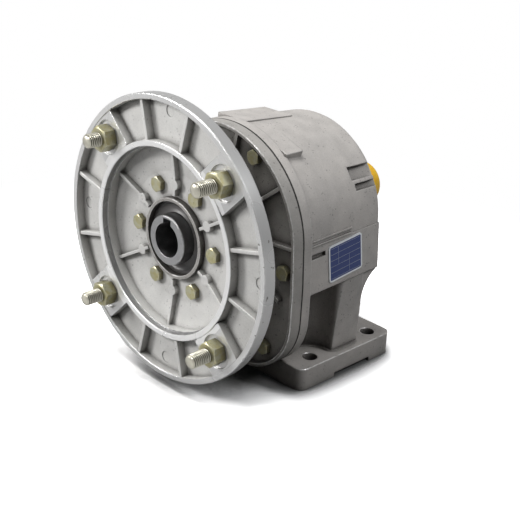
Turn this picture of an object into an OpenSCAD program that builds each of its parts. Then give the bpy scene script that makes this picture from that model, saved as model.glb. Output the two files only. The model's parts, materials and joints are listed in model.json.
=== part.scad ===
// Foot-mounted coaxial speed reducer: a two-disc cycloidal drive behind a flanged motor adapter.
// Frame: +Z up, shaft axis along Y, motor flange towards -Y, output shaft towards +Y.
// Origin: centre of the four foot holes, on the plane the foot stands on.

/* [Foot] */
// Height of the shaft axis above the foot's base
axis_h = 107; // [106:0.5:112]
// Width of the foot across the shaft
foot_w = 150; // [146:1:158]
// Length of the foot in front of the hole pattern's centre
foot_front = 52.5; // [48:0.5:54]
// Length of the foot behind the hole pattern's centre
foot_rear = 46.5; // [42:0.5:52]
// Thickness of the foot
foot_t = 17; // [14:0.5:19]
// Spacing of the foot holes across the shaft
foot_hole_x = 126.5; // [124:0.5:130]
// Spacing of the foot holes along the shaft
foot_hole_y = 63.5; // [61:0.5:67]
// Diameter of the foot holes
foot_hole_d = 11; // [9:0.5:12]
// Height of the relief under the middle of the foot
foot_relief_h = 3.5; // [2:0.5:5]
// Width of the pedestal between barrel and foot
pedestal_w = 136; // [130:1:140]
// Length of the pedestal behind the hole pattern's centre
pedestal_rear = 13; // [11:0.5:16]
// Radius of the room that the pedestal leaves round each front bolt
bolt_room_r = 18; // [14:0.5:20]

/* [Casing] */
// Distance from the hole pattern's centre forward to the casing joint
joint_front = 58; // [57:0.5:61]
// Wall between the ring gear and the outside of the barrel
barrel_wall = 12; // [11.5:0.1:14]
// Length of the barrel behind the joint
barrel_len = 80; // [76:0.5:84]
// How much the barrel's radius shrinks from front to rear
barrel_taper = 4.5; // [0:0.5:5]
// Rounding of the barrel's rear shoulder
shoulder_r = 10; // [3:0.5:12]
// Length of the flanged collar at the joint
collar_t = 8; // [7:0.5:12]
// Thickness of the gasket in the joint
gasket_t = 0.6; // [0.4:0.1:1]
// Depth of the oil sump's outline below the shaft axis
sump_depth = 96; // [94:0.5:98]
// Radius of the sump's lower corners
sump_corner_r = 46; // [40:1:50]
// Thickness of the cover's flange
cover_t = 9.4; // [8.5:0.1:11]
// Outside diameter of the cover's neck
neck_d = 92; // [90:0.5:96]
// Size of the screws that hold the cover
cover_screw_d = 6; // [5:0.5:6.5]

/* [Motor flange] */
// Distance from the hole pattern's centre forward to the flange face
flange_front = 120; // [118:0.5:124]
// Outside diameter of the motor flange
flange_d = 200; // [196:1:206]
// Circle of the motor studs
flange_pcd = 165; // [162:0.5:168]
// Bore that centres the motor
pilot_d = 130; // [128:0.5:132]
// Depth of that bore
pilot_depth = 4.5; // [3.5:0.5:5]
// Thickness of the flange's rim
rim_t = 9.4; // [8.5:0.1:12]
// Width of the rim's machined face
rim_w = 4; // [3:0.5:6]
// Depth of the cast pockets
pocket_depth = 7; // [5:0.5:8]
// Thickness of the cast ribs
rib_t = 2.5; // [2:0.1:4]
// Width of the pad under each stud nut
pad_w = 31; // [28:0.5:36]
// Depth of the dish's floor at the hub
dish_depth = 15; // [14:0.5:16]
// Thickness of the hub's wall
hub_t = 8; // [7:0.5:9]
// Circle of the screws in the dish
hub_screw_pcd = 76.8; // [76:0.2:79]
// Size of the screws in the dish
hub_screw_d = 6; // [5:0.5:6]
// Size of the motor studs
stud_d = 10; // [8:0.5:12]

/* [Input shaft] */
// Bore for the motor shaft
motor_bore_d = 24; // [19:0.5:24]
// Depth of the bore
motor_bore_len = 52; // [45:0.5:53]
// Width of its keyway
motor_key_w = 8; // [6:0.5:8]
// Height from the bore's far wall to the keyway's roof
motor_key_h = 27.3; // [27:0.1:28]
// Diameter in the seal and the front bearing
input_d = 35; // [34:0.5:36]
// Distance of the shaft's mouth behind the flange face
input_setback = 5.5; // [4.6:0.1:7]
// Outside diameter of the input seal
input_seal_d = 52; // [50:0.5:53]
// Outside diameter of the input bearing
input_bearing_d = 72; // [70:0.5:73]
// Width of the input bearing
input_bearing_w = 17; // [15:0.5:18]

/* [Cycloid drive] */
// Lobes on each disc; the ring has one pin more
lobes = 11; // [9:1:11]
// Circle of the ring pins
ring_pcd = 104; // [103:0.5:106]
// Diameter of the rollers on the ring pins
ring_roller_d = 10; // [9:0.5:10.5]
// Diameter of the ring pins
ring_pin_d = 6; // [5:0.5:6.5]
// Throw of each eccentric
throw = 2.5; // [2:0.1:2.7]
// Thickness of each disc
disc_t = 11; // [9:0.5:12]
// Gap between the two discs
disc_gap = 2; // [1.5:0.5:3]
// Gap between a disc's flank and the rollers it runs on
disc_play = 0.15; // [0.1:0.01:0.2]
// Diameter of each eccentric
eccentric_d = 32; // [31:0.5:33]
// Diameter of the rollers on an eccentric
eccentric_roller_d = 4; // [3.5:0.1:4.2]
// Output pins
output_pins_n = 8; // [6:1:8]
// Circle of the output pins
output_pcd = 66; // [65:0.5:67]
// Diameter of the output pins
output_pin_d = 6; // [5:0.5:6.5]
// Diameter of the rollers on the output pins
output_roller_d = 8; // [7.5:0.1:8.5]

/* [Output shaft] */
// Diameter of the shaft end
output_d = 25; // [22:0.5:28]
// Length of the shaft end
output_len = 50; // [42:0.5:56]
// Diameter in the bearings
output_journal_d = 30; // [29:0.5:31]
// Outside diameter of the output bearings
output_bearing_d = 62; // [60:0.5:64]
// Width of each output bearing
output_bearing_w = 16; // [14:0.5:17]
// Length of the sleeve between the output bearings
output_sleeve_len = 5; // [3:0.5:7]
// Outside diameter of the output seal
output_seal_d = 47; // [44:0.5:50]
// Width of the key on the shaft end
output_key_w = 8; // [6:0.5:8]
// Height of the key
output_key_h = 7; // [6:0.5:7]
// Length of the key
output_key_len = 40; // [30:0.5:41]
// Diameter of the outside of the protective cap
cap_d = 34; // [33.8:0.1:36]

/* [Nameplate] */
// Length of the nameplate
plate_len = 36.5; // [28:0.5:38]
// Height of the nameplate
plate_h = 27; // [24:0.5:28]
// Thickness of the nameplate
plate_t = 0.8; // [0.5:0.1:1.5]
// How far the nameplate is turned on the casing's side, in degrees
plate_turn = 3.5; // [0:0.5:8]

/* [Hidden] */
$fn = 96;

// Fits: clearance of a pressed seat, of a running fit, and of a loose running gap
seat = 0.02;
running = 0.05;
loose = 0.3;

// Stations along the shaft, front to rear
face_y = -flange_front;
floor_y = face_y + dish_depth;
hub_back_y = floor_y + hub_t;
joint_y = -joint_front;
cover_back_y = joint_y - gasket_t;
cover_front_y = cover_back_y - cover_t;
ring_y = joint_y + 2;
pin_wall = 5;
disc_a_y = ring_y + pin_wall + 4;
disc_b_y = disc_a_y + disc_t + disc_gap;
disc_b_end = disc_b_y + disc_t;
ring_wall_y = disc_b_end + 3;
ring_end = ring_wall_y + pin_wall;
carrier_y = disc_b_end + 2;
carrier_t = 12.5;
carrier_end = carrier_y + carrier_t;
front_bearing_y = carrier_end + 1.5;
sleeve_y = front_bearing_y + output_bearing_w;
rear_bearing_y = sleeve_y + output_sleeve_len;
bearing_end = rear_bearing_y + output_bearing_w;
seal_y = bearing_end + 1.5;
output_seal_w = 7;
housing_end = seal_y + output_seal_w;
journal_end = housing_end + 1;
shaft_end = journal_end + output_len;
cap_wall = 0.8;
cap_y = journal_end + 1.5;
cap_end = shaft_end + 0.6 + cap_wall;
shoulder_y = joint_y + barrel_len;
barrel_end = shoulder_y + shoulder_r;
pedestal_y = joint_y + 20;
foot_core_x = foot_hole_x / 2 - bolt_room_r - 6;

// Stud seats and nuts
pad_seat = 2.2;
nut_h = stud_d;
nut_y = face_y + pad_seat - nut_h;

// Radii about the shaft axis
flange_r = flange_d / 2;
pilot_r = pilot_d / 2;
pilot_lip_w = 4;
ring_r = ring_pcd / 2;
ring_roller_r = ring_roller_d / 2;
ring_case_r = ring_r + ring_roller_r + 5;
pin_wall_r = ring_r - ring_pin_d / 2 - 2;
barrel_r = ring_case_r + barrel_wall;
barrel_front_r = barrel_r - 1.5;
barrel_rear_r = barrel_front_r - barrel_taper;
carrier_r = output_pcd / 2 + output_pin_d / 2 + 8;
eccentric_r = eccentric_d / 2;
disc_bore_r = eccentric_r + eccentric_roller_d;
neck_r = neck_d / 2;
hub_r = input_seal_d / 2 + 2.5;
hub_front_y = face_y + 10.6;
output_neck_r = output_bearing_d / 2 + 7;

// Input shaft's tail and the bearing that carries it
pilot_bearing_d = 35;
pilot_bearing_w = 10;
tail_d = 17;
core_r = eccentric_r - throw - 0.5;
eccentric_w = disc_t + disc_gap;

// Output key and cap
key_y = journal_end + 5;
key_base = output_d / 2 - output_key_h * 4 / 7;
cap_round = 3;

// Input side stations
input_y = face_y + input_setback;
input_seal_y = hub_front_y + 4;
input_seal_w = 10;
input_bearing_y = hub_back_y + 11;
input_bearing_end = input_bearing_y + input_bearing_w;
snap_t = 2.5;
snap_depth = 1.5;

// Casing outline below the axis
sump_w = barrel_r + 1.5;
sump_side_y = sump_depth - sump_corner_r;

// Feet, pads and plate
foot_top = foot_t - axis_h;
skirt_bottom = -32;
side_pad_x = max(barrel_r + 0.1, pedestal_w / 2 + 6.1);
side_draft = 0.05;
side_lean = 4.5;
side_end = shoulder_y + 4;
plate_y = -12.6;
plate_z = -14.3;
rib_angles = [-76, -104, -166, -194, 76, 104, 14, -14];
stud_angles = [45, 135, 225, 315];
hub_screw_angles = [30, 90, 150, 210, 270, 330];
cover_screw_places = [for (a = [-103, -28, 28, 103]) [a, barrel_r - 8.5],
    [180 - 33, barrel_r + 17], [180 + 33, barrel_r + 17]];
cover_rib_angles = [-120, -86, -52.5, -12, 12, 52.5, 86, 120];
stud_tips = [22.6, 22.6, 21, 17.7];
dowel_angles = [75, 255];
dish_rib_t = 2.2;
cover_rib_t = 2.5;

// A round bar along the shaft, from y0 to y1
module bar(y0, y1, r)
    translate([0, y0, axis_h]) rotate([-90, 0, 0]) cylinder(h = y1 - y0, r = r);

// A tube along the shaft
module tube(y0, y1, r_out, r_in)
    difference() {
        bar(y0, y1, r_out);
        bar(y0 - 1, y1 + 1, r_in);
    }

// A profile of [radius, y] points turned about the shaft axis
module turned(points)
    translate([0, 0, axis_h]) rotate([-90, 0, 0]) rotate_extrude() polygon(points);

// A flat outline, x across and y up from the axis, made solid from y0 to y1
module slab(y0, y1)
    translate([0, y1, axis_h]) rotate([90, 0, 0]) linear_extrude(y1 - y0) children();

// Children turned about the shaft: 0 is up, positive clockwise seen from the motor
module around(angle)
    translate([0, 0, axis_h]) rotate([0, angle, 0]) children();

// A bar parallel to the shaft at a given angle and radius
module off_bar(angle, radius, y0, y1, r, sides = 48)
    around(angle) translate([0, y0, radius]) rotate([-90, 0, 0])
        cylinder(h = y1 - y0, r = r, $fn = sides);

// A hexagon screw with its head towards the motor
module hex_screw(angle, radius, seat_y, length, d) {
    head_h = d * 0.67;
    off_bar(angle, radius, seat_y - head_h, seat_y, d * 0.96, 6);
    off_bar(angle, radius, seat_y - 0.01, seat_y + length, d / 2);
}

// The joint's outline: a circle above the axis, a round-cornered sump below it
module casing_outline(inset) {
    circle(r = barrel_r - inset);
    w = sump_w - inset;
    corner = sump_corner_r - inset;
    polygon([
        [barrel_r - inset - 0.1, 3], [w, -barrel_r / 3], [w, -sump_side_y],
        [-w, -sump_side_y], [-w, -barrel_r / 3], [inset + 0.1 - barrel_r, 3]
    ]);
    for (side = [-1, 1])
        translate([side * (w - corner), -sump_side_y]) circle(r = corner);
    translate([corner - w, inset - sump_depth])
        square([2 * (w - corner), sump_depth - inset - sump_side_y + 1]);
}

// ---- Motor flange ----

module flange_body()
    turned([
        [hub_r + seat, floor_y], [neck_r, floor_y], [pilot_r - 1, floor_y - 3.5],
        [pilot_r - 1, face_y + pilot_depth], [pilot_r, face_y + pilot_depth], [pilot_r, face_y + 0.4],
        [pilot_r + 0.4, face_y], [pilot_r + pilot_lip_w, face_y],
        [pilot_r + pilot_lip_w, face_y + pocket_depth],
        [flange_r - rim_w, face_y + pocket_depth], [flange_r - rim_w, face_y],
        [flange_r - 0.5, face_y], [flange_r, face_y + 0.5], [flange_r, face_y + rim_t - 0.5],
        [flange_r - 0.5, face_y + rim_t],
        [flange_r - 2, face_y + rim_t], [flange_r - 5, face_y + pocket_depth + 5],
        [pilot_r + pilot_lip_w + 1, face_y + pocket_depth + 5], [pilot_r, floor_y + 2],
        [neck_r + 4, hub_back_y - 2], [neck_r, hub_back_y], [hub_r + seat, hub_back_y]
    ]);

module flange_rib(angle)
    around(angle)
        translate([-rib_t / 2, face_y + 1, pilot_r + 1])
            cube([rib_t, pocket_depth, flange_r - rim_w - pilot_r]);

module flange_pad(angle)
    around(angle)
        translate([-pad_w / 2, face_y + 0.5, pilot_r + 3])
            cube([pad_w, pocket_depth, flange_r - rim_w - pilot_r - 2]);

module dish_rib(angle)
    around(angle)
        translate([-dish_rib_t / 2, 0, 0]) rotate([90, 0, 90]) linear_extrude(dish_rib_t)
            polygon([
                [floor_y + 1, hub_r + 2], [floor_y - 4, hub_r + 2], [floor_y - 4, neck_r - 2],
                [floor_y - 7, pilot_r - 0.8], [floor_y + 1, pilot_r - 0.8]
            ]);

// Shallow mark that an ejector pin leaves in a pocket
module ejector_mark(angle)
    off_bar(angle, (pilot_r + pilot_lip_w + flange_r - rim_w) / 2 + 7, face_y + pocket_depth - 1,
        face_y + pocket_depth + 0.5, 4.2);

module motor_flange()
    color("silver") difference() {
        union() {
            flange_body();
            for (a = rib_angles) flange_rib(a);
            for (a = stud_angles) flange_pad(a);
            for (a = [0:60:300]) {
                dish_rib(a);
                off_bar(a, hub_screw_pcd / 2, floor_y - 4, floor_y + 1, 3.6);
            }
        }
        for (a = stud_angles) {
            off_bar(a, flange_pcd / 2, face_y - 1, hub_back_y, stud_d / 2 + seat);
            off_bar(a, flange_pcd / 2, face_y - 1, face_y + pad_seat, stud_d * 1.2);
        }
        for (a = [0, 90, 180, 270]) ejector_mark(a);
        for (a = hub_screw_angles)
            off_bar(a, hub_screw_pcd / 2, floor_y - 1, hub_back_y + 1, hub_screw_d / 2 + seat);
    }

module flange_studs()
    color("gainsboro") for (i = [0:3])
        around(stud_angles[i]) translate([0, 0, flange_pcd / 2 - axis_h])
            turned_stud(face_y - stud_tips[i], face_y + pocket_depth + 5);

// A stud whose thread ends in a slightly thinner shank under the nut
module turned_stud(y0, y1)
    turned([
        [0, y0], [stud_d / 2 - 1, y0], [stud_d / 2, y0 + 1], [stud_d / 2, nut_y - 0.4],
        [stud_d / 2 - 0.05, nut_y - 0.4], [stud_d / 2 - 0.05, y1], [0, y1]
    ]);

module stud_nuts()
    color("goldenrod") for (a = stud_angles)
        difference() {
            off_bar(a, flange_pcd / 2, nut_y, nut_y + nut_h, stud_d * 0.96, 6);
            off_bar(a, flange_pcd / 2, face_y - 30, face_y + 30, stud_d / 2 + seat);
        }

module flange_screws()
    color("khaki") for (a = hub_screw_angles)
        hex_screw(a, hub_screw_pcd / 2, floor_y, hub_t + 8, hub_screw_d);

// ---- Input cover ----

module cover_rib(angle)
    around(angle)
        translate([-cover_rib_t / 2, 0, 0]) rotate([90, 0, 90]) linear_extrude(cover_rib_t)
            polygon([
                [cover_front_y + 5, neck_r - 2], [cover_front_y - 12, neck_r - 2],
                [cover_front_y, neck_r + 8], [cover_front_y, barrel_r - 2],
                [cover_front_y + 5, barrel_r - 2]
            ]);

module input_cover()
    color("darkgray") difference() {
        union() {
            difference() {
                slab(cover_front_y, cover_back_y) casing_outline(0);
                slab(cover_front_y - 1, cover_front_y + 4) casing_outline(2.2);
            }
            bar(hub_back_y, cover_back_y, neck_r);
            bar(hub_front_y, hub_back_y + 1, hub_r);
            for (a = cover_rib_angles) cover_rib(a);
        }
        turned([
            [0, hub_front_y - 1], [input_seal_d / 2 + seat, hub_front_y - 1],
            [input_seal_d / 2 + seat, input_seal_y + input_seal_w],
            [input_seal_d / 2 - 3, input_seal_y + input_seal_w], [input_seal_d / 2 - 3, hub_back_y],
            [input_bearing_d / 2 - 3, hub_back_y + 8], [input_bearing_d / 2 - 3, input_bearing_y],
            [input_bearing_d / 2 + seat, input_bearing_y],
            [input_bearing_d / 2 + seat, input_bearing_end],
            [input_bearing_d / 2 + snap_depth, input_bearing_end],
            [input_bearing_d / 2 + snap_depth, input_bearing_end + snap_t],
            [input_bearing_d / 2 + seat, input_bearing_end + snap_t],
            [input_bearing_d / 2 + seat, cover_back_y + 1], [0, cover_back_y + 1]
        ]);
        for (a = hub_screw_angles)
            off_bar(a, hub_screw_pcd / 2, hub_back_y - 1, hub_back_y + 8.5, hub_screw_d / 2 + seat);
        for (s = cover_screw_places)
            off_bar(s[0], s[1], cover_front_y, cover_back_y + 1, cover_screw_d / 2 + seat);
    }

module cover_screws()
    color("khaki") for (s = cover_screw_places)
        hex_screw(s[0], s[1], cover_front_y + 4, cover_t - 4 + gasket_t + 10, cover_screw_d);

module cover_gasket()
    color("black") difference() {
        slab(cover_back_y, joint_y) casing_outline(0.3);
        bar(cover_back_y - 1, joint_y + 1, ring_case_r - 1);
        for (s = cover_screw_places)
            off_bar(s[0], s[1], cover_back_y - 1, joint_y + 1, cover_screw_d / 2 + seat);
    }

// ---- Housing ----

module barrel_shell()
    turned([
        [0, joint_y], [barrel_r, joint_y], [barrel_r, joint_y + collar_t - 1.5],
        [barrel_front_r, joint_y + collar_t], [barrel_rear_r, shoulder_y],
        for (a = [15:15:90])
            [barrel_rear_r - shoulder_r * (1 - cos(a)), shoulder_y + shoulder_r * sin(a)],
        [output_neck_r, barrel_end], [output_neck_r, housing_end - 1],
        [output_neck_r - 1, housing_end], [0, housing_end]
    ]);

module housing_bore()
    turned([
        [0, joint_y - 1], [ring_case_r + seat, joint_y - 1], [ring_case_r + seat, ring_end],
        [carrier_r + 2, ring_end], [carrier_r + 2, carrier_end + 1],
        [output_bearing_d / 2 + seat, carrier_end + 1], [output_bearing_d / 2 + seat, bearing_end],
        [output_bearing_d / 2 - 4, bearing_end], [output_bearing_d / 2 - 4, seal_y],
        [output_seal_d / 2 + seat, seal_y], [output_seal_d / 2 + seat, housing_end + 1],
        [0, housing_end + 1]
    ]);

// Cored pockets in the barrel's rear, with radial ribs left between them
module rear_pockets()
    difference() {
        tube(carrier_end + 8, barrel_end + 1, barrel_rear_r - shoulder_r, output_neck_r);
        for (a = [0:45:315])
            around(a) translate([-3, carrier_end, 0]) cube([6, barrel_end, barrel_r]);
    }

// Plan of the pedestal: a block with rounded corners and room for the front bolts
module pedestal_plan(width)
    offset(r = 5, $fn = 32) offset(r = -10, $fn = 32) offset(r = 5, $fn = 32) difference() {
        translate([-width / 2, pedestal_y]) square([width, pedestal_rear - pedestal_y]);
        for (side = [-1, 1])
            translate([side * foot_hole_x / 2, -foot_hole_y / 2]) circle(r = bolt_room_r, $fn = 64);
    }

// The pedestal's block, which widens upwards and is blended back into the barrel above its narrow rear
module pedestal() {
    top_x = side_x(0) + 0.6;
    intersection() {
        linear_extrude(axis_h) pedestal_plan(2 * top_x);
        slab(joint_y, barrel_end) polygon([
            [-pedestal_w / 2, foot_top - 1], [pedestal_w / 2, foot_top - 1],
            [top_x, skirt_bottom], [barrel_rear_r, 0], [-barrel_rear_r, 0], [-top_x, skirt_bottom]
        ]);
    }
    // low plinth where the block meets the foot
    linear_extrude(foot_t + 1.4) offset(r = 2.6, $fn = 32) pedestal_plan(pedestal_w);
    blend_r = 26;
    blend_z = axis_h + skirt_bottom - 24;
    difference() {
        intersection() {
            translate([-top_x, 0, blend_z])
                cube([2 * top_x, side_end, axis_h + skirt_bottom + 4 - blend_z]);
            slab(0, side_end) polygon([
                [-pedestal_w / 2, foot_top], [pedestal_w / 2, foot_top],
                [side_x(side_end), skirt_bottom], [side_x(side_end) - 1, 0],
                [1 - side_x(side_end), 0], [-side_x(side_end), skirt_bottom]
            ]);
        }
        translate([-pedestal_w, pedestal_rear + blend_r, blend_z]) rotate([0, 90, 0])
            cylinder(h = 2 * pedestal_w, r = blend_r);
    }
}

// Half width of the casing's straight sides, which draw in towards the rear
function side_x(y) = side_pad_x - side_draft * (y - joint_y);

// Children laid on the side face: X points out of it, Y runs along it
module on_side(y, z)
    translate([side_x(y), y, axis_h + z]) rotate([0, 0, atan(side_draft)]) rotate([0, -side_lean, 0])
        children();

// Straight sides of the barrel from the axis down, which carry the nameplate
module side_skirt()
    intersection() {
        slab(joint_y, side_end) translate([-axis_h, skirt_bottom])
            square([2 * axis_h, 2 - skirt_bottom]);
        for (side = [0, 1]) mirror([side, 0, 0])
            on_side(joint_y, plate_z) translate([-40, -10, -30])
                cube([40, side_end - joint_y + 20, 60]);
    }

module foot_outline(corner) {
    length = foot_front + foot_rear;
    translate([-foot_w / 2 + corner, -foot_front]) square([foot_w - 2 * corner, length]);
    translate([-foot_w / 2, -foot_front + corner]) square([foot_w, length - 2 * corner]);
    for (x = [corner - foot_w / 2, foot_w / 2 - corner], y = [corner - foot_front, foot_rear - corner])
        translate([x, y]) circle(r = corner);
}

module foot()
    difference() {
        linear_extrude(foot_t) foot_outline(7);
        translate([-foot_w, -foot_hole_y / 2 + 15, -1])
            cube([2 * foot_w, foot_hole_y - 25, foot_relief_h + 1]);
    }

// Small cast details on the outside of the barrel
module cast_details() {
    // flat along the top, which follows the taper
    translate([-24, joint_y + collar_t, axis_h + barrel_front_r - 8]) rotate([-4, 0, 0])
        cube([28, 46, 8.9]);
    // wedge-shaped land on the right shoulder
    around(19) translate([0, joint_y + 7, 0]) cube([23.5, 16, barrel_front_r - 0.3]);
    // ridges above the nameplate
    for (z = [16.3, 19.8]) on_side(joint_y + 8, plate_z) translate([-6, 0, z]) cube([6.8, 44, 1.2]);
}

module shoulder_notches() {
    around(55) translate([-5, shoulder_y - 20, barrel_rear_r - 5]) cube([10, 40, 20]);
    around(63.5) translate([-2.5, shoulder_y - 18, barrel_rear_r - 4]) cube([5, 40, 20]);
    // slot beside the nameplate
    on_side(joint_y + 8, plate_z) translate([-2.5, 0, 7.3]) cube([10, 16, 3.5]);
}

module housing()
    color("lightslategray") difference() {
        union() {
            barrel_shell();
            slab(joint_y, joint_y + collar_t) casing_outline(0);
            side_skirt();
            pedestal();
            foot();
            cast_details();
        }
        housing_bore();
        rear_pockets();
        shoulder_notches();
        for (x = [-1, 1], y = [-1, 1])
            translate([x * foot_hole_x / 2, y * foot_hole_y / 2, -1])
                cylinder(h = foot_t + 2, d = foot_hole_d);
        // core under the pedestal
        translate([-foot_core_x, pedestal_y + 8, -1]) cube([2 * foot_core_x, 36, foot_t + 10]);
        for (s = cover_screw_places)
            off_bar(s[0], s[1], joint_y - 1, joint_y + 10.5, cover_screw_d / 2 + seat);
        for (a = dowel_angles)
            off_bar(a, ring_case_r - 5, ring_end - 1, ring_end + 6, 2.5 + seat);
    }

module nameplate()
    color("steelblue") on_side(plate_y, plate_z) rotate([plate_turn, 0, 0]) rotate([90, 0, 90])
        linear_extrude(plate_t) {
            round_r = 2.5;
            square([plate_len - 2 * round_r, plate_h], center = true);
            square([plate_len, plate_h - 2 * round_r], center = true);
            for (x = [-1, 1], y = [-1, 1])
                translate([x * (plate_len / 2 - round_r), y * (plate_h / 2 - round_r)])
                    circle(r = round_r, $fn = 32);
        }

// ---- Bearings and seals ----

function ball_r(bore_d, outer_d) = (outer_d - bore_d) * 0.15;
function ball_pitch(bore_d, outer_d) = (outer_d + bore_d) / 4;

module race_groove(bore_d, outer_d, y, w)
    translate([0, y + w / 2, axis_h]) rotate([-90, 0, 0]) rotate_extrude()
        translate([ball_pitch(bore_d, outer_d), 0])
            circle(r = ball_r(bore_d, outer_d) + 0.1, $fn = 48);

module outer_race(bore_d, outer_d, y, w)
    color("lightgray") difference() {
        tube(y, y + w, outer_d / 2, ball_pitch(bore_d, outer_d) + ball_r(bore_d, outer_d) * 0.6);
        race_groove(bore_d, outer_d, y, w);
    }

module inner_race(bore_d, outer_d, y, w)
    color("lightgray") difference() {
        tube(y, y + w, ball_pitch(bore_d, outer_d) - ball_r(bore_d, outer_d) * 0.6, bore_d / 2);
        race_groove(bore_d, outer_d, y, w);
    }

module ball_set(bore_d, outer_d, y, w) {
    r = ball_r(bore_d, outer_d);
    pitch = ball_pitch(bore_d, outer_d);
    n = floor(360 / (2 * asin(1.5 * r / pitch)));
    color("white") for (i = [0:n - 1])
        around(i * 360 / n) translate([0, y + w / 2, pitch]) sphere(r = r, $fn = 48);
    color("goldenrod") difference() {
        tube(y + w / 2 - r - 0.9, y + w / 2 + r + 0.9, pitch + r * 0.2, pitch - r * 0.2);
        for (i = [0:n - 1])
            around(i * 360 / n) translate([0, y + w / 2, pitch]) sphere(r = r + 0.15, $fn = 48);
    }
}

module lip_seal(y, w, outer_r, shaft_r)
    color("dimgray") turned([
        [outer_r, y], [outer_r, y + w], [outer_r - 1.5, y + w], [outer_r - 1.5, y + 1.8],
        [shaft_r + 2.2, y + 1.8], [shaft_r + 2, y + w * 0.7], [shaft_r + running, y + w * 0.6],
        [shaft_r + 0.6, y]
    ]);

module input_seal() lip_seal(input_seal_y, input_seal_w, input_seal_d / 2, input_d / 2);
module input_bearing_outer()
    outer_race(input_d, input_bearing_d, input_bearing_y, input_bearing_w);
module input_bearing_inner()
    inner_race(input_d, input_bearing_d, input_bearing_y, input_bearing_w);
module input_bearing_balls()
    ball_set(input_d, input_bearing_d, input_bearing_y, input_bearing_w);

module input_bearing_ring()
    color("gray") difference() {
        tube(input_bearing_end, input_bearing_end + snap_t - 0.2,
            input_bearing_d / 2 + snap_depth - 0.2, input_bearing_d / 2 - 4);
        around(180) translate([-8, input_bearing_end - 1, 0]) cube([16, snap_t + 2, input_bearing_d]);
    }

// ---- Input shaft ----

module eccentric(y, w, offset_x)
    translate([offset_x, 0, 0]) bar(y, y + w, eccentric_r);

module input_shaft()
    color("lightgray") difference() {
        union() {
            turned([
                [0, input_y], [input_d / 2 - 0.6, input_y], [input_d / 2, input_y + 0.6],
                [input_d / 2, input_bearing_end], [input_d / 2 + 3, input_bearing_end],
                [input_d / 2 + 3, input_bearing_end + 3], [input_d / 2, input_bearing_end + 3],
                [input_d / 2, ring_y - 1], [core_r, ring_y - 1], [core_r, carrier_y - 1],
                [tail_d / 2, carrier_y - 1], [tail_d / 2, carrier_y + pilot_bearing_w - 0.5],
                [0, carrier_y + pilot_bearing_w - 0.5]
            ]);
            eccentric(disc_a_y - 1, eccentric_w, throw);
            eccentric(disc_b_y - 1, eccentric_w, -throw);
        }
        bar(input_y - 1, input_y + motor_bore_len, motor_bore_d / 2);
        translate([-motor_key_w / 2, input_y - 1, axis_h])
            cube([motor_key_w, motor_bore_len - 1, motor_key_h - motor_bore_d / 2]);
    }

// ---- Cycloid discs ----

// Centre curve of the ring rollers as the disc sees it, and the flank one roller inside it
function flank_point(t) =
    let (n = lobes + 1)
    let (tx = ring_r * cos(t) - n * throw * cos(n * t), ty = ring_r * sin(t) - n * throw * sin(n * t))
    let (length = norm([tx, ty]), r = ring_roller_r + disc_play)
    [
        ring_r * cos(t) - throw * cos(n * t) - r * tx / length,
        ring_r * sin(t) - throw * sin(n * t) - r * ty / length
    ];

module cycloid_disc(y, offset_x, turn) {
    steps = lobes * 18;
    hole_r = output_roller_d / 2 + throw + disc_play;
    color("slategray") translate([offset_x, 0, 0]) difference() {
        slab(y, y + disc_t) rotate(turn) polygon([for (i = [0:steps - 1]) flank_point(i * 360 / steps)]);
        bar(y - 1, y + disc_t + 1, disc_bore_r);
        for (i = [0:output_pins_n - 1])
            off_bar(90 + i * 360 / output_pins_n, output_pcd / 2, y - 1, y + disc_t + 1, hole_r);
    }
}

module cycloid_disc_a() cycloid_disc(disc_a_y, throw, 0);
module cycloid_disc_b() cycloid_disc(disc_b_y, -throw, 180 - 180 * (lobes + 1) / lobes);

module eccentric_bearing(y, offset_x) {
    r = eccentric_roller_d / 2 - 0.1;
    pitch = eccentric_r + eccentric_roller_d / 2;
    n = 16;
    translate([offset_x, 0, 0]) {
        color("white") for (i = [0:n - 1]) off_bar(i * 360 / n, pitch, y + 1, y + disc_t - 1, r);
        color("goldenrod") difference() {
            tube(y + 0.2, y + disc_t - 0.2, pitch + 0.9, pitch - 0.9);
            for (i = [0:n - 1])
                off_bar(i * 360 / n, pitch, y + 0.9, y + disc_t - 0.9, r + 0.1);
        }
    }
}

module eccentric_bearing_a() eccentric_bearing(disc_a_y, throw);
module eccentric_bearing_b() eccentric_bearing(disc_b_y, -throw);

// ---- Ring gear ----

module at_ring_pins()
    for (i = [0:lobes]) around(90 + i * 360 / (lobes + 1)) translate([0, 0, ring_r]) children();

module ring_gear_housing()
    color("gray") difference() {
        bar(ring_y + pin_wall, ring_end, ring_case_r);
        bar(ring_y, ring_wall_y, ring_r + ring_roller_r + 0.6);
        bar(ring_y, ring_end + 1, pin_wall_r);
        at_ring_pins() translate([0, ring_wall_y - 1, 0]) rotate([-90, 0, 0])
            cylinder(h = pin_wall, r = ring_pin_d / 2 + seat, $fn = 48);
        for (a = dowel_angles) off_bar(a, ring_case_r - 5, ring_end - 4, ring_end + 1, 2.5 + seat);
    }

module ring_pin_retainer()
    color("gray") difference() {
        tube(ring_y, ring_y + pin_wall, ring_case_r, pin_wall_r);
        at_ring_pins() translate([0, ring_y + 1, 0]) rotate([-90, 0, 0])
            cylinder(h = pin_wall, r = ring_pin_d / 2 + seat, $fn = 48);
    }

module ring_pins()
    color("lightgray") at_ring_pins() translate([0, ring_y + 1, 0]) rotate([-90, 0, 0])
        cylinder(h = ring_wall_y + pin_wall - 1 - ring_y - 1, r = ring_pin_d / 2, $fn = 48);

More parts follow.
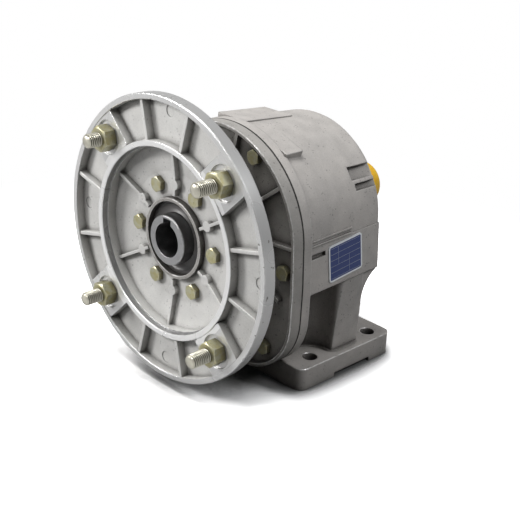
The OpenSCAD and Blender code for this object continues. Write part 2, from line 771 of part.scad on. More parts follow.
module ring_rollers()
    color("white") at_ring_pins() difference() {
        roller_y = ring_y + pin_wall + 0.3;
        translate([0, roller_y, 0]) rotate([-90, 0, 0])
            cylinder(h = ring_wall_y - 0.3 - roller_y, r = ring_roller_r, $fn = 48);
        translate([0, ring_y, 0]) rotate([-90, 0, 0])
            cylinder(h = ring_end - ring_y, r = ring_pin_d / 2 + running, $fn = 48);
    }

module ring_dowels()
    color("lightgray") for (a = dowel_angles)
        off_bar(a, ring_case_r - 5, ring_end - 4, ring_end + 5, 2.5);

// ---- Output ----

module output_shaft()
    color("silver") difference() {
        turned([
            [0, carrier_y], [carrier_r - 0.6, carrier_y], [carrier_r, carrier_y + 0.6],
            [carrier_r, carrier_end], [output_journal_d / 2 + 4, carrier_end],
            [output_journal_d / 2 + 4, front_bearing_y], [output_journal_d / 2, front_bearing_y],
            [output_journal_d / 2, bearing_end], [output_journal_d / 2 - 1, bearing_end],
            [output_journal_d / 2 - 1, bearing_end + 1.2], [output_journal_d / 2, bearing_end + 1.2],
            [output_journal_d / 2, journal_end], [output_d / 2, journal_end],
            [output_d / 2, shaft_end - 1], [output_d / 2 - 1, shaft_end], [0, shaft_end]
        ]);
        bar(carrier_y - 1, carrier_y + pilot_bearing_w, pilot_bearing_d / 2 + seat);
        for (i = [0:output_pins_n - 1])
            off_bar(90 + i * 360 / output_pins_n, output_pcd / 2, carrier_y - 1, carrier_end - 1,
                output_pin_d / 2);
        bar(shaft_end - 20, shaft_end + 1, 3.4);
        key_slot();
    }

module key_slot()
    translate([0, key_y, axis_h + key_base]) {
        r = output_key_w / 2;
        translate([-r, r, 0]) cube([2 * r, output_key_len - 2 * r, output_key_h]);
        for (y = [r, output_key_len - r]) translate([0, y, 0]) cylinder(h = output_key_h, r = r);
    }

module output_key() color("lightgray") key_slot();

module output_pins()
    color("lightgray") for (i = [0:output_pins_n - 1])
        off_bar(90 + i * 360 / output_pins_n, output_pcd / 2, disc_a_y - 1.5, carrier_end - 1,
            output_pin_d / 2);

module output_rollers()
    color("white") for (i = [0:output_pins_n - 1]) difference() {
        a = 90 + i * 360 / output_pins_n;
        off_bar(a, output_pcd / 2, disc_a_y - 1, carrier_y - 0.3, output_roller_d / 2);
        off_bar(a, output_pcd / 2, disc_a_y - 3, carrier_y, output_pin_d / 2 + running);
    }

module pilot_bearing_outer() outer_race(tail_d, pilot_bearing_d, carrier_y, pilot_bearing_w);
module pilot_bearing_inner() inner_race(tail_d, pilot_bearing_d, carrier_y, pilot_bearing_w);
module pilot_bearing_balls() ball_set(tail_d, pilot_bearing_d, carrier_y, pilot_bearing_w);

module front_bearing_outer()
    outer_race(output_journal_d, output_bearing_d, front_bearing_y, output_bearing_w);
module front_bearing_inner()
    inner_race(output_journal_d, output_bearing_d, front_bearing_y, output_bearing_w);
module front_bearing_balls()
    ball_set(output_journal_d, output_bearing_d, front_bearing_y, output_bearing_w);
module rear_bearing_outer()
    outer_race(output_journal_d, output_bearing_d, rear_bearing_y, output_bearing_w);
module rear_bearing_inner()
    inner_race(output_journal_d, output_bearing_d, rear_bearing_y, output_bearing_w);
module rear_bearing_balls()
    ball_set(output_journal_d, output_bearing_d, rear_bearing_y, output_bearing_w);

module bearing_sleeve()
    color("gray") tube(sleeve_y, rear_bearing_y, output_journal_d / 2 + 4, output_journal_d / 2);

module shaft_retaining_ring()
    color("gray") difference() {
        tube(bearing_end, bearing_end + 1.2, output_journal_d / 2 + 2.5, output_journal_d / 2 - 0.9);
        around(180) translate([-3, bearing_end - 1, 0]) cube([6, 4, output_journal_d]);
    }

module output_seal() lip_seal(seal_y, output_seal_w, output_seal_d / 2, output_journal_d / 2);

// A point on the cap's rounded end, at angle a, for the outer or inner skin
function cap_corner(r, a) =
    [cap_d / 2 - cap_round + r * cos(a), cap_end - cap_round + r * sin(a)];

module shaft_cap()
    color("orange") union() {
        turned([
            [cap_d / 2 - cap_wall, cap_y], [cap_d / 2, cap_y],
            for (a = [0:15:90]) cap_corner(cap_round, a),
            [0, cap_end], [0, cap_end - cap_wall],
            for (a = [90:-15:0]) cap_corner(cap_round - cap_wall, a)
        ]);
        for (a = [60, 120, 180, 240, 300])
            around(a) translate([-0.6, cap_y, output_d / 2 + loose])
                cube([1.2, output_len - 4, cap_d / 2 - cap_wall - output_d / 2 - loose + 0.2]);
    }

motor_flange();
flange_studs();
stud_nuts();
flange_screws();
input_cover();
cover_screws();
cover_gasket();
housing();
nameplate();
input_seal();
input_bearing_outer();
input_bearing_inner();
input_bearing_balls();
input_bearing_ring();
input_shaft();
eccentric_bearing_a();
eccentric_bearing_b();
cycloid_disc_a();
cycloid_disc_b();
ring_gear_housing();
ring_pin_retainer();
ring_pins();
ring_rollers();
ring_dowels();
output_shaft();
output_pins();
output_rollers();
pilot_bearing_outer();
pilot_bearing_inner();
pilot_bearing_balls();
front_bearing_outer();
front_bearing_inner();
front_bearing_balls();
rear_bearing_outer();
rear_bearing_inner();
rear_bearing_balls();
bearing_sleeve();
shaft_retaining_ring();
output_seal();
output_key();
shaft_cap();
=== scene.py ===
"""Finishes the foot-mounted cycloidal reducer: castings, fasteners, seals, plate and cap, and the stage."""

import json
import math

import bmesh
import bpy
from mathutils import Matrix, Vector


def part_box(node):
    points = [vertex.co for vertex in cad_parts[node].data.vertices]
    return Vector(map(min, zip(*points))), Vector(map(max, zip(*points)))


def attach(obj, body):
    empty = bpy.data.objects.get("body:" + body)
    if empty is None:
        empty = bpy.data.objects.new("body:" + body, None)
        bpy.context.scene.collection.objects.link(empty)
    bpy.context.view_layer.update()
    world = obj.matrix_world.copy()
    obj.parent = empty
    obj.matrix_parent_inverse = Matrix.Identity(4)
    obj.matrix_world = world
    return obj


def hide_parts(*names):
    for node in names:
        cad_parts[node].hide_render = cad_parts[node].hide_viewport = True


bl_info = {
    "name": "Cycloidal reducer finish",
    "version": (1, 0, 0),
    "blender": (4, 5, 0),
    "location": "3D View > Sidebar > Reducer",
    "description": "Cast, machined and plated finishes for a foot-mounted reducer, with its small parts",
    "category": "Object",
}

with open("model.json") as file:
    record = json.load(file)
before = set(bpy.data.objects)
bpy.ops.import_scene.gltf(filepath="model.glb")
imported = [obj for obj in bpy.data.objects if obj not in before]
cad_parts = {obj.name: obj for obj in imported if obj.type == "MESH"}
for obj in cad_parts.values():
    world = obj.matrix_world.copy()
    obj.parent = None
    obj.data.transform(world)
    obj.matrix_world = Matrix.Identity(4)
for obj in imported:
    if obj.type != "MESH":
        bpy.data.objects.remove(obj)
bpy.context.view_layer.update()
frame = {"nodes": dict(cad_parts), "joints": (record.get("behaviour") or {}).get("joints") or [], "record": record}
MM = 0.001

AXIS_Z = next(j for j in frame["joints"] if j["name"] == "input_spin")["pos_m"][2]
FLANGE_LOW, FLANGE_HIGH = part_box("motor_flange")
FACE_Y = FLANGE_LOW.y
FLANGE_R = (FLANGE_HIGH.x - FLANGE_LOW.x) / 2
PILOT_R = next(m["dims"]["r_mm"] for m in frame["record"]["mounts"] if m["name"] == "motor_pilot") * MM

# height of the foot's upper face
FOOT_TOP = 17 * MM
# radius of the flat seats milled round the studs, and length of the chamfer on a stud's tip
STUD_SEAT_R, STUD_CHAMFER = 12.1 * MM, 1.2 * MM
# radius of the nuts' holes, height of the screws' heads and radius of their shanks
NUT_HOLE_R, HEAD_HEIGHT, SHANK_R = 4.3 * MM, 4.02 * MM, 3 * MM

# aluminium lightened along edges where worn and by a painted highlight, as cast and as turned
CAST_WEAR_AND_HIGHLIGHT, FLANGE_WEAR_AND_HIGHLIGHT, TURNED_WEAR_AND_HIGHLIGHT = (0.95, 0.945, 0.94), (0.92, 0.915, 0.91), (0.95, 0.95, 0.95)
# oil in the joint, painted shade in inner corners, and painted shade in deep hollows and low under the casing
JOINT_OIL, CORNER_PAINTED_SHADE, PAINTED_DEEP_SHADE = (0.02, 0.018, 0.016), (0.085, 0.08, 0.075), (0.024, 0.021, 0.018)

CAMERA_PLACE = (0.5039, -0.5364, 0.3791)
CAMERA_SHIFT = (0.003, -0.0044)

# how pale the floor is to the camera, in reflections, and as a source of bounced light
FLOOR_SEEN, FLOOR_MIRRORED, FLOOR_BOUNCE = 3.2, 0.8, 0.12
# half the floor's side, and the point and distances about which it fades into the backdrop
FLOOR_HALF, FLOOR_MIDDLE, FLOOR_FADE = 6.0, (0.0, -0.03, 0.0), (0.20, 0.42)
# how far the floor's painted contact shadow reaches
CONTACT_REACH = 55 * MM
# how bright the surroundings are in reflections, and as a faint fill
SKY_MIRRORED, SKY_FILL = 0.45, 0.025

WARM_WHITE, COOL_WHITE = (1.0, 0.995, 0.985), (0.98, 0.99, 1.0)
# name, place, target, side of the square, power in watts, colour
LAMPS = (
    ("top softbox", (-0.20, -0.28, 1.25), (0, 0, 0.08), 0.5, 9.0, WARM_WHITE),
    ("key softbox", (-0.52, -0.68, 0.38), (0, -0.06, 0.10), 0.25, 4.2, WARM_WHITE),
    ("front lamp", (0.0, -0.95, 0.82), (0, -0.06, 0.10), 0.12, 2.8, WARM_WHITE),
    ("side softbox", (0.75, 0.22, 0.95), (0, 0, 0.08), 0.4, 5.4, COOL_WHITE),
)


# ---- Settings ----


class CastingSettings(bpy.types.PropertyGroup):
    """Colours and grain of the castings."""

    housing_colour: bpy.props.FloatVectorProperty(
        name="Housing", description="Colour of the blasted aluminium of the casing",
        subtype="COLOR", size=3, default=(0.50, 0.483, 0.468), min=0, max=1)
    cover_colour: bpy.props.FloatVectorProperty(
        name="Cover", description="Colour of the darker input cover",
        subtype="COLOR", size=3, default=(0.385, 0.375, 0.362), min=0, max=1)
    flange_colour: bpy.props.FloatVectorProperty(
        name="Flange", description="Colour of the as-cast skin of the motor flange",
        subtype="COLOR", size=3, default=(0.68, 0.675, 0.66), min=0, max=1)
    machined_colour: bpy.props.FloatVectorProperty(
        name="Machined", description="Colour of aluminium where it has been turned",
        subtype="COLOR", size=3, default=(0.64, 0.64, 0.64), min=0, max=1)
    edge_radius: bpy.props.FloatProperty(
        name="Edge radius", description="Softness of the cast edges",
        unit="LENGTH", default=0.9 * MM, min=0, max=4 * MM)
    grain: bpy.props.FloatProperty(
        name="Grain", description="Size of the grain that blasting leaves",
        unit="LENGTH", default=0.7 * MM, min=0.2 * MM, max=4 * MM)


class FastenerSettings(bpy.types.PropertyGroup):
    """Threads and plating of the studs, nuts and screws."""

    pitch: bpy.props.FloatProperty(
        name="Thread pitch", description="Pitch of the motor studs",
        unit="LENGTH", default=1.5 * MM, min=0.5 * MM, max=3 * MM)
    thread_depth: bpy.props.FloatProperty(
        name="Thread depth", description="Depth of the stud's thread",
        unit="LENGTH", default=0.8 * MM, min=0.2 * MM, max=1.5 * MM)
    chamfer: bpy.props.FloatProperty(
        name="Chamfer", description="Angle of the chamfer on nuts and heads",
        subtype="ANGLE", default=math.radians(30), min=0.1, max=1)
    zinc_colour: bpy.props.FloatVectorProperty(
        name="Yellow zinc", description="Colour of the passivated zinc on nuts and screws",
        subtype="COLOR", size=3, default=(0.41, 0.375, 0.20), min=0, max=1)
    stud_colour: bpy.props.FloatVectorProperty(
        name="Stud", description="Colour of the studs",
        subtype="COLOR", size=3, default=(0.60, 0.58, 0.49), min=0, max=1)


class TrimSettings(bpy.types.PropertyGroup):
    """Nameplate, seals and cap."""

    plate_colour: bpy.props.FloatVectorProperty(
        name="Plate", description="Colour of the nameplate's field",
        subtype="COLOR", size=3, default=(0.018, 0.040, 0.17), min=0, max=1)
    plate_border: bpy.props.FloatProperty(
        name="Plate border", description="Width of the plate's bare border",
        unit="LENGTH", default=1.2 * MM, min=0, max=3 * MM)
    plate_corner: bpy.props.FloatProperty(
        name="Plate corner", description="Radius of the plate's rounded corners",
        unit="LENGTH", default=2.5 * MM, min=0.5 * MM, max=5 * MM)
    rubber_colour: bpy.props.FloatVectorProperty(
        name="Rubber", description="Colour of the seals",
        subtype="COLOR", size=3, default=(0.070, 0.066, 0.065), min=0, max=1)
    cap_colour: bpy.props.FloatVectorProperty(
        name="Cap", description="Colour of the shaft's protective cap",
        subtype="COLOR", size=3, default=(0.98, 0.51, 0.020), min=0, max=1)


class StageSettings(bpy.types.PropertyGroup):
    """Camera, floor and lamps."""

    lens: bpy.props.FloatProperty(
        name="Lens", description="Focal length of the camera",
        unit="CAMERA", default=72.9, min=20, max=200)
    azimuth: bpy.props.FloatProperty(
        name="Azimuth", description="Angle of the camera round the reducer",
        subtype="ANGLE", default=math.radians(44.61))
    elevation: bpy.props.FloatProperty(
        name="Elevation", description="Angle of the camera above the floor",
        subtype="ANGLE", default=math.radians(23.24))
    roll: bpy.props.FloatProperty(
        name="Roll", description="Tilt of the camera about its own axis",
        subtype="ANGLE", default=math.radians(3.2))
    floor_colour: bpy.props.FloatVectorProperty(
        name="Floor", description="Colour of the floor and backdrop",
        subtype="COLOR", size=3, default=(0.93, 0.93, 0.935), min=0, max=1)


# ---- Node helpers ----


def feed(tree, socket, value):
    """Links a socket to a value that varies, or sets a plain number, vector or colour."""
    if isinstance(value, bpy.types.NodeSocket):
        tree.links.new(value, socket)
    elif socket.type == "RGBA":
        socket.default_value = (*value, 1)
    else:
        socket.default_value = value


def node(tree, kind, inputs=None, **values):
    """Adds a node, sets its properties, and links or sets its inputs by name or number."""
    made = tree.nodes.new(kind)
    for name, value in values.items():
        setattr(made, name, value)
    for key, value in (inputs or {}).items():
        feed(tree, made.inputs[key], value)
    return made


def calc(tree, operation, *terms, clamp=False):
    """A Math node's result."""
    made = node(tree, "ShaderNodeMath", dict(enumerate(terms)), operation=operation, use_clamp=clamp)
    return made.outputs[0]


def times(tree, product, *factors):
    """The product of its terms."""
    for factor in factors:
        product = calc(tree, "MULTIPLY", product, factor)
    return product


def most(tree, largest, *others):
    """The largest of its terms."""
    for other in others:
        largest = calc(tree, "MAXIMUM", largest, other)
    return largest


def vector(tree, operation, *terms):
    """A Vector Math node's result."""
    made = node(tree, "ShaderNodeVectorMath", dict(enumerate(terms)), operation=operation)
    return made.outputs["Value" if operation in ("DOT_PRODUCT", "LENGTH") else "Vector"]


def scaled(tree, colour, factor):
    """A colour or a place times a factor that varies."""
    made = node(tree, "ShaderNodeVectorMath", {0: colour, "Scale": factor}, operation="SCALE")
    return made.outputs[0]


def combined(tree, **parts):
    """A vector from its named parts, the others being 0."""
    return node(tree, "ShaderNodeCombineXYZ", parts).outputs[0]


def ramp(tree, value, low, high, out_low=0.0, out_high=1.0):
    """Smooth step of value from low..high to out_low..out_high."""
    made = node(tree, "ShaderNodeMapRange",
                {"Value": value, "From Min": low, "From Max": high, "To Min": out_low, "To Max": out_high},
                interpolation_type="SMOOTHSTEP")
    return made.outputs[0]


def noise(tree, place, size, detail=2.0, roughness=0.5):
    """Noise whose features are about size metres across; size may be a group's own input."""
    scale = 1.0
    if isinstance(size, bpy.types.NodeSocket):
        place = scaled(tree, place, calc(tree, "DIVIDE", 1.0, size))
    else:
        scale = 1 / size
    made = node(tree, "ShaderNodeTexNoise",
                {"Vector": place, "Scale": scale, "Detail": detail, "Roughness": roughness})
    return made.outputs["Fac"]


def streaks(tree, place, scale):
    """Noise drawn out along the axes where scale, in features per metre, is low."""
    stretched = node(tree, "ShaderNodeMapping", {"Vector": place, "Scale": scale}).outputs[0]
    return noise(tree, stretched, 1.0)


def mix(tree, factor, a, b):
    """A mix of two colours."""
    made = node(tree, "ShaderNodeMix", {0: factor, 6: a, 7: b}, data_type="RGBA")
    return made.outputs[2]


def laid_over(tree, base, coats):
    """A colour under coats of other colours, given as (mask, colour)."""
    for mask, colour in coats:
        base = mix(tree, mask, base, colour)
    return base


def new_group(name, inputs, outputs, tree_kind="ShaderNodeTree"):
    """An empty node group with its sockets. Inputs are (name, kind, default), outputs (name, kind)."""
    group = bpy.data.node_groups.new(name, tree_kind)
    for label, kind, default in inputs:
        socket = group.interface.new_socket(label, in_out="INPUT", socket_type=kind)
        if default is not None:
            socket.default_value = default
    for label, kind in outputs:
        group.interface.new_socket(label, in_out="OUTPUT", socket_type=kind)
    return group, group.nodes.new("NodeGroupInput").outputs, group.nodes.new("NodeGroupOutput").inputs


def new_geometry_tree(name, inputs):
    """A geometry tree with one geometry input, named inputs and one geometry output."""
    geometry = ("Geometry", "NodeSocketGeometry")
    return new_group(name, [(*geometry, None), *inputs], [geometry], "GeometryNodeTree")


def deliver(tree, out, **values):
    """Links values to a group's named outputs."""
    for name, value in values.items():
        tree.links.new(value, out[name])


def placed(tree, name, **inputs):
    """Puts a shared shader group in a material, building it at its first use, and gives its outputs."""
    group = bpy.data.node_groups.get(name) or GROUP_MAKERS[name](name)
    made = node(tree, "ShaderNodeGroup", node_tree=group)
    for key, value in inputs.items():
        feed(tree, made.inputs[key], value)
    return made.outputs


def new_material(name):
    """A material with only its output; returns it, its tree and the object's coordinates."""
    material = bpy.data.materials.new(name)
    material.use_nodes = True
    tree = material.node_tree
    tree.nodes.clear()
    tree.nodes.new("ShaderNodeOutputMaterial")
    place = tree.nodes.new("ShaderNodeTexCoord").outputs["Object"]
    return material, tree, place


def finish_surface(tree, shader):
    """Links a shader to the material's output."""
    out = next(n for n in tree.nodes if n.type == "OUTPUT_MATERIAL")
    tree.links.new(shader, out.inputs["Surface"])


def shade(tree, base, roughness, height, bump, normal=None, **others):
    """Ends a material in its Principled shader, with a bump from a height in millimetres."""
    shader = node(tree, "ShaderNodeBsdfPrincipled", {"Base Color": base, "Roughness": roughness})
    for key, value in others.items():
        feed(tree, shader.inputs[key.replace("_", " ")], value)
    lift = node(tree, "ShaderNodeBump", {"Height": height, "Distance": MM, "Strength": bump})
    if normal is not None:
        tree.links.new(normal, lift.inputs["Normal"])
    tree.links.new(lift.outputs[0], shader.inputs["Normal"])
    finish_surface(tree, shader.outputs[0])


# ---- Shader groups ----


def cast_skin_group(name):
    """Blasted or as-cast aluminium: fine grain, cloudy patches and small dark pores."""
    group, given, out = new_group(
        name,
        [("Vector", "NodeSocketVector", None), ("Grain", "NodeSocketFloat", 0.7 * MM),
         ("Mottle", "NodeSocketFloat", 0.12), ("Pores", "NodeSocketFloat", 0.3)],
        [("Tone", "NodeSocketFloat"), ("Height", "NodeSocketFloat"), ("Patch", "NodeSocketFloat")])
    place, mottle = given["Vector"], given["Mottle"]
    fine = noise(group, place, given["Grain"], 3.0, 0.6)
    cloud = noise(group, place, 11 * MM, 3.0, 0.55)
    patch = noise(group, place, 45 * MM)
    cells = node(group, "ShaderNodeTexVoronoi", {"Vector": place, "Scale": 420.0, "Randomness": 1.0})
    pore = times(group, ramp(group, cells.outputs["Distance"], 0.16, 0.30, 1.0, 0.0),
                 ramp(group, noise(group, place, 6 * MM, 1.0), 0.52, 0.62), given["Pores"])
    tone = times(group, calc(group, "SUBTRACT", cloud, 0.5), mottle)
    for grey, strength in ((fine, times(group, mottle, 1.4)), (patch, mottle)):
        tone = calc(group, "MULTIPLY_ADD", calc(group, "SUBTRACT", grey, 0.5), strength, tone)
    tone = calc(group, "SUBTRACT", calc(group, "ADD", tone, 1.0), pore)
    height = calc(group, "MULTIPLY_ADD", fine, 0.10, times(group, cloud, 0.12))
    height = calc(group, "MULTIPLY_ADD", pore, -0.25, height)
    deliver(group, out, Tone=tone, Height=height, Patch=patch)
    return group


def worn_edges_and_painted_light_group(name):
    """Rounded normals, and masks: outer edges lightened where worn and by a painted highlight, inner corners and
    deep hollows darkened with painted shade.
    """
    group, given, out = new_group(
        name,
        [("Vector", "NodeSocketVector", None), ("Breakup", "NodeSocketFloat", 4 * MM),
         ("Radius", "NodeSocketFloat", 0.6 * MM)],
        [("Edge", "NodeSocketFloat"), ("Corner", "NodeSocketFloat"), ("Shelter", "NodeSocketFloat"),
         ("Open", "NodeSocketFloat"), ("Normal", "NodeSocketVector")])
    soft = node(group, "ShaderNodeBevel", {"Radius": given["Radius"]}, samples=4).outputs[0]
    true = group.nodes.new("ShaderNodeNewGeometry").outputs["Normal"]
    bend = calc(group, "SUBTRACT", 1.0, vector(group, "DOT_PRODUCT", soft, true))
    near = node(group, "ShaderNodeAmbientOcclusion", {"Distance": 5 * MM}, samples=4).outputs["AO"]
    deep = node(group, "ShaderNodeAmbientOcclusion", {"Distance": 35 * MM}, samples=6).outputs["AO"]
    torn = noise(group, given["Vector"], given["Breakup"], 3.0)
    edge = times(group, ramp(group, bend, 0.01, 0.12), ramp(group, near, 0.75, 0.95),
                 ramp(group, torn, 0.30, 0.52))
    deliver(group, out, Edge=edge, Corner=ramp(group, near, 0.35, 0.9, 1.0, 0.0),
            Shelter=ramp(group, deep, 0.15, 0.62, 1.0, 0.0), Open=deep, Normal=soft)
    return group


def turned_marks_group(name):
    """Marks that a lathe leaves about the shaft axis, and the distance from that axis."""
    group, given, out = new_group(
        name,
        [("Vector", "NodeSocketVector", None), ("Spacing", "NodeSocketFloat", 0.4 * MM)],
        [("Height", "NodeSocketFloat"), ("Tone", "NodeSocketFloat"), ("Radius", "NodeSocketFloat"),
         ("Along", "NodeSocketFloat")])
    axes = node(group, "ShaderNodeSeparateXYZ", {0: given["Vector"]}).outputs
    up = calc(group, "SUBTRACT", axes["Z"], AXIS_Z)
    radius = calc(group, "SQRT", calc(group, "ADD", times(group, axes["X"], axes["X"]),
                                      times(group, up, up)))
    across = calc(group, "ADD", radius, times(group, axes["Y"], 0.7))
    rings = node(group, "ShaderNodeTexNoise",
                 {"W": calc(group, "DIVIDE", across, given["Spacing"]), "Scale": 1.0, "Detail": 2.0},
                 noise_dimensions="1D").outputs["Fac"]
    tone = calc(group, "MULTIPLY_ADD", calc(group, "SUBTRACT", rings, 0.5), 0.14, 1.0)
    deliver(group, out, Height=rings, Tone=tone, Radius=radius, Along=axes["Y"])
    return group


def plating_group(name):
    """Passivated plating: clouds of tint, small stains and tumbling scratches."""
    group, given, out = new_group(
        name,
        [("Vector", "NodeSocketVector", None), ("Cloud", "NodeSocketFloat", 4 * MM)],
        [("Tint", "NodeSocketFloat"), ("Stain", "NodeSocketFloat"), ("Height", "NodeSocketFloat")])
    place = given["Vector"]
    tint = noise(group, place, given["Cloud"])
    stain = noise(group, place, 2.2 * MM, 4.0, 0.65)
    deliver(group, out, Tint=ramp(group, tint, 0.3, 0.7), Stain=ramp(group, stain, 0.56, 0.72),
            Height=streaks(group, place, (2600, 500, 1500)))
    return group


GROUP_MAKERS = {"Cast skin": cast_skin_group, "Worn edges and painted light": worn_edges_and_painted_light_group,
                "Turned marks": turned_marks_group, "Plating": plating_group}


# ---- Materials ----


def casting_material(name, castings, colour, mottle, pores, corner_shade, highlight_and_wear, shelter):
    """Cast aluminium with soft edges lightened where worn and by a painted highlight, most round the foot; oil
    along the cover's joint; painted shade in corners, in deep hollows and low under the casing.
    """
    material, tree, place = new_material(name)
    skin = placed(tree, "Cast skin", Vector=place, Grain=castings.grain, Mottle=mottle, Pores=pores)
    edge = placed(tree, "Worn edges and painted light", Vector=place, Radius=castings.edge_radius * 1.5)
    axes = node(tree, "ShaderNodeSeparateXYZ", {0: place}).outputs
    warmer = (colour[0] * 1.03, colour[1] * 0.98, colour[2] * 0.93)
    base = mix(tree, times(tree, skin["Patch"], 0.5), scaled(tree, colour, skin["Tone"]),
               scaled(tree, warmer, skin["Tone"]))
    # edges lightened where worn and by a painted highlight, most round the foot
    highlight_and_wear_strength = most(tree, ramp(tree, axes["Z"], FOOT_TOP - 1 * MM, FOOT_TOP + 7 * MM, 0.95, 0.35), highlight_and_wear)
    highlight_and_wear_edges = times(tree, edge["Edge"], highlight_and_wear_strength)
    from_joint = [calc(tree, "ABSOLUTE", calc(tree, "SUBTRACT", axes["Y"], end.y))
                  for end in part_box("cover_gasket")]
    oily = ramp(tree, calc(tree, "MINIMUM", *from_joint), 0.25 * MM, 0.7 * MM, 0.92, 0.0)
    # painted shade in hollows low under the casing, fading upwards
    low_painted_shade = times(tree, ramp(tree, edge["Open"], 0.40, 0.75, 1.0, 0.0),
                    ramp(tree, axes["Z"], FOOT_TOP + 3 * MM, 85 * MM, 0.95, 0.0),
                    calc(tree, "GREATER_THAN", axes["Z"], FOOT_TOP + 1 * MM))
    # painted shade in deep hollows
    deep_painted_shade = times(tree, ramp(tree, edge["Open"], *shelter, 1.0, 0.0), 0.88)
    base = laid_over(tree, base, (
        (highlight_and_wear_edges, CAST_WEAR_AND_HIGHLIGHT), (oily, JOINT_OIL), (times(tree, edge["Corner"], corner_shade), CORNER_PAINTED_SHADE),
        (most(tree, deep_painted_shade, low_painted_shade), PAINTED_DEEP_SHADE)))
    rough = calc(tree, "MULTIPLY_ADD", edge["Edge"], -0.2, ramp(tree, skin["Patch"], 0.3, 0.7, 0.62, 0.50))
    shade(tree, base, rough, skin["Height"], 0.55, edge["Normal"],
          Metallic=times(tree, highlight_and_wear_edges, 0.85), Specular_IOR_Level=0.2)
    return material


def flange_material(name, castings):
    """The motor flange: bright as-cast skin, with its faces, rim and spigot bore turned."""
    material, tree, place = new_material(name)
    skin = placed(tree, "Cast skin", Vector=place, Grain=castings.grain * 0.9, Mottle=0.28, Pores=0.35)
    edge = placed(tree, "Worn edges and painted light", Vector=place, Radius=castings.edge_radius)
    lathe = placed(tree, "Turned marks", Vector=place)
    radius, along = lathe["Radius"], lathe["Along"]

    front = calc(tree, "LESS_THAN", along, FACE_Y + 0.6 * MM)
    rim = calc(tree, "GREATER_THAN", radius, FLANGE_R - 0.4 * MM)
    bore = times(tree, calc(tree, "LESS_THAN", radius, PILOT_R + 0.5 * MM),
                 calc(tree, "LESS_THAN", along, FACE_Y + 4.6 * MM))
    lip = times(tree, front, calc(tree, "LESS_THAN", radius, PILOT_R + 8 * MM))
    turned = most(tree, front, rim, bore, stud_seat_mask(tree, place, along))
    nick = times(tree, ramp(tree, noise(tree, place, 3.5 * MM), 0.69, 0.74),
                 calc(tree, "GREATER_THAN", radius, FLANGE_R - 5 * MM))

    cast = laid_over(tree, scaled(tree, castings.flange_colour, skin["Tone"]), (
        # edges lightened where worn and by a painted highlight; inner corners and deep hollows darkened with
        # painted shade
        (times(tree, edge["Edge"], 0.85), FLANGE_WEAR_AND_HIGHLIGHT),
        (times(tree, edge["Corner"], 0.7), (0.10, 0.095, 0.088)),
        (times(tree, edge["Shelter"], 0.5), (0.05, 0.046, 0.04))))
    bright = laid_over(tree, scaled(tree, castings.machined_colour, lathe["Tone"]), (
        # the spigot bore's wall darkened with painted shade, edges lightened where worn and by a painted
        # highlight, and a painted highlight on the turned lip
        (times(tree, bore, calc(tree, "SUBTRACT", 1.0, front), 0.6), (0.12, 0.12, 0.12)),
        (times(tree, edge["Edge"], 0.8), TURNED_WEAR_AND_HIGHLIGHT),
        (times(tree, lip, 0.7), (0.93, 0.93, 0.93)),
        (times(tree, rim, 0.45), (0.36, 0.36, 0.355)),
        (nick, (0.16, 0.15, 0.14))))

    rough = calc(tree, "ADD", times(tree, turned, -0.24), ramp(tree, skin["Patch"], 0.3, 0.7, 0.58, 0.48))
    metallic = calc(tree, "MULTIPLY_ADD", edge["Edge"], 0.45, 0.12)
    metallic = calc(tree, "MULTIPLY_ADD", turned, 0.35, metallic)
    height = calc(tree, "ADD", times(tree, skin["Height"], calc(tree, "SUBTRACT", 1.0, turned)),
                  times(tree, lathe["Height"], 0.04, turned))
    height = calc(tree, "MULTIPLY_ADD", nick, -0.2, height)
    shade(tree, mix(tree, turned, cast, bright), rough, height, 0.5, edge["Normal"],
          Metallic=metallic, Specular_IOR_Level=0.3)
    return material


def stud_seat_mask(tree, place, along):
    """1 on the flat seats that are milled round each stud."""
    nuts = solids("stud_nuts")
    seats = []
    for nut in nuts:
        off = vector(tree, "MULTIPLY", vector(tree, "SUBTRACT", place, nut["centre"]), (1.0, 0.0, 1.0))
        seats.append(calc(tree, "LESS_THAN", vector(tree, "LENGTH", off), STUD_SEAT_R))
    return times(tree, most(tree, *seats), calc(tree, "LESS_THAN", along, nuts[-1]["high"].y + 0.3 * MM))


def plated_material(name, colour, paler):
    """Zinc-plated steel."""
    material, tree, place = new_material(name)
    coat = placed(tree, "Plating", Vector=place)
    edge = placed(tree, "Worn edges and painted light", Vector=place, Breakup=2 * MM)
    base = laid_over(tree, mix(tree, coat["Tint"], colour, paler), (
        (times(tree, coat["Stain"], 0.5), [c * 0.45 for c in colour]),
        # edges lightened where worn and by a painted highlight; corners and deep hollows darkened with painted
        # shade
        (times(tree, edge["Edge"], 0.5), (0.86, 0.84, 0.76)),
        (times(tree, edge["Corner"], 0.5), (0.08, 0.07, 0.045)),
        (times(tree, edge["Shelter"], 0.7), (0.06, 0.05, 0.035))))
    rough = calc(tree, "MULTIPLY_ADD", coat["Stain"], 0.18, 0.38)
    shade(tree, base, rough, coat["Height"], 0.04, Metallic=0.65)
    return material


def thread_material(name, colour):
    """Rolled thread of a zinc-plated stud: bright crests, and roots darkened with painted shade."""
    material, tree, place = new_material(name)
    coat = placed(tree, "Plating", Vector=place)
    valley = node(tree, "ShaderNodeAttribute", attribute_name="valley").outputs["Fac"]
    base = laid_over(tree, mix(tree, coat["Tint"], colour, [c * 0.85 for c in colour]), (
        (times(tree, coat["Stain"], 0.4), [c * 0.5 for c in colour]),
        # painted shade in the thread's roots
        (ramp(tree, valley, 0.15, 0.85, 0.0, 0.96), (0.035, 0.032, 0.024))))
    shade(tree, base, ramp(tree, valley, 0.1, 0.9, 0.28, 0.55), coat["Height"], 0.04, Metallic=0.8)
    return material


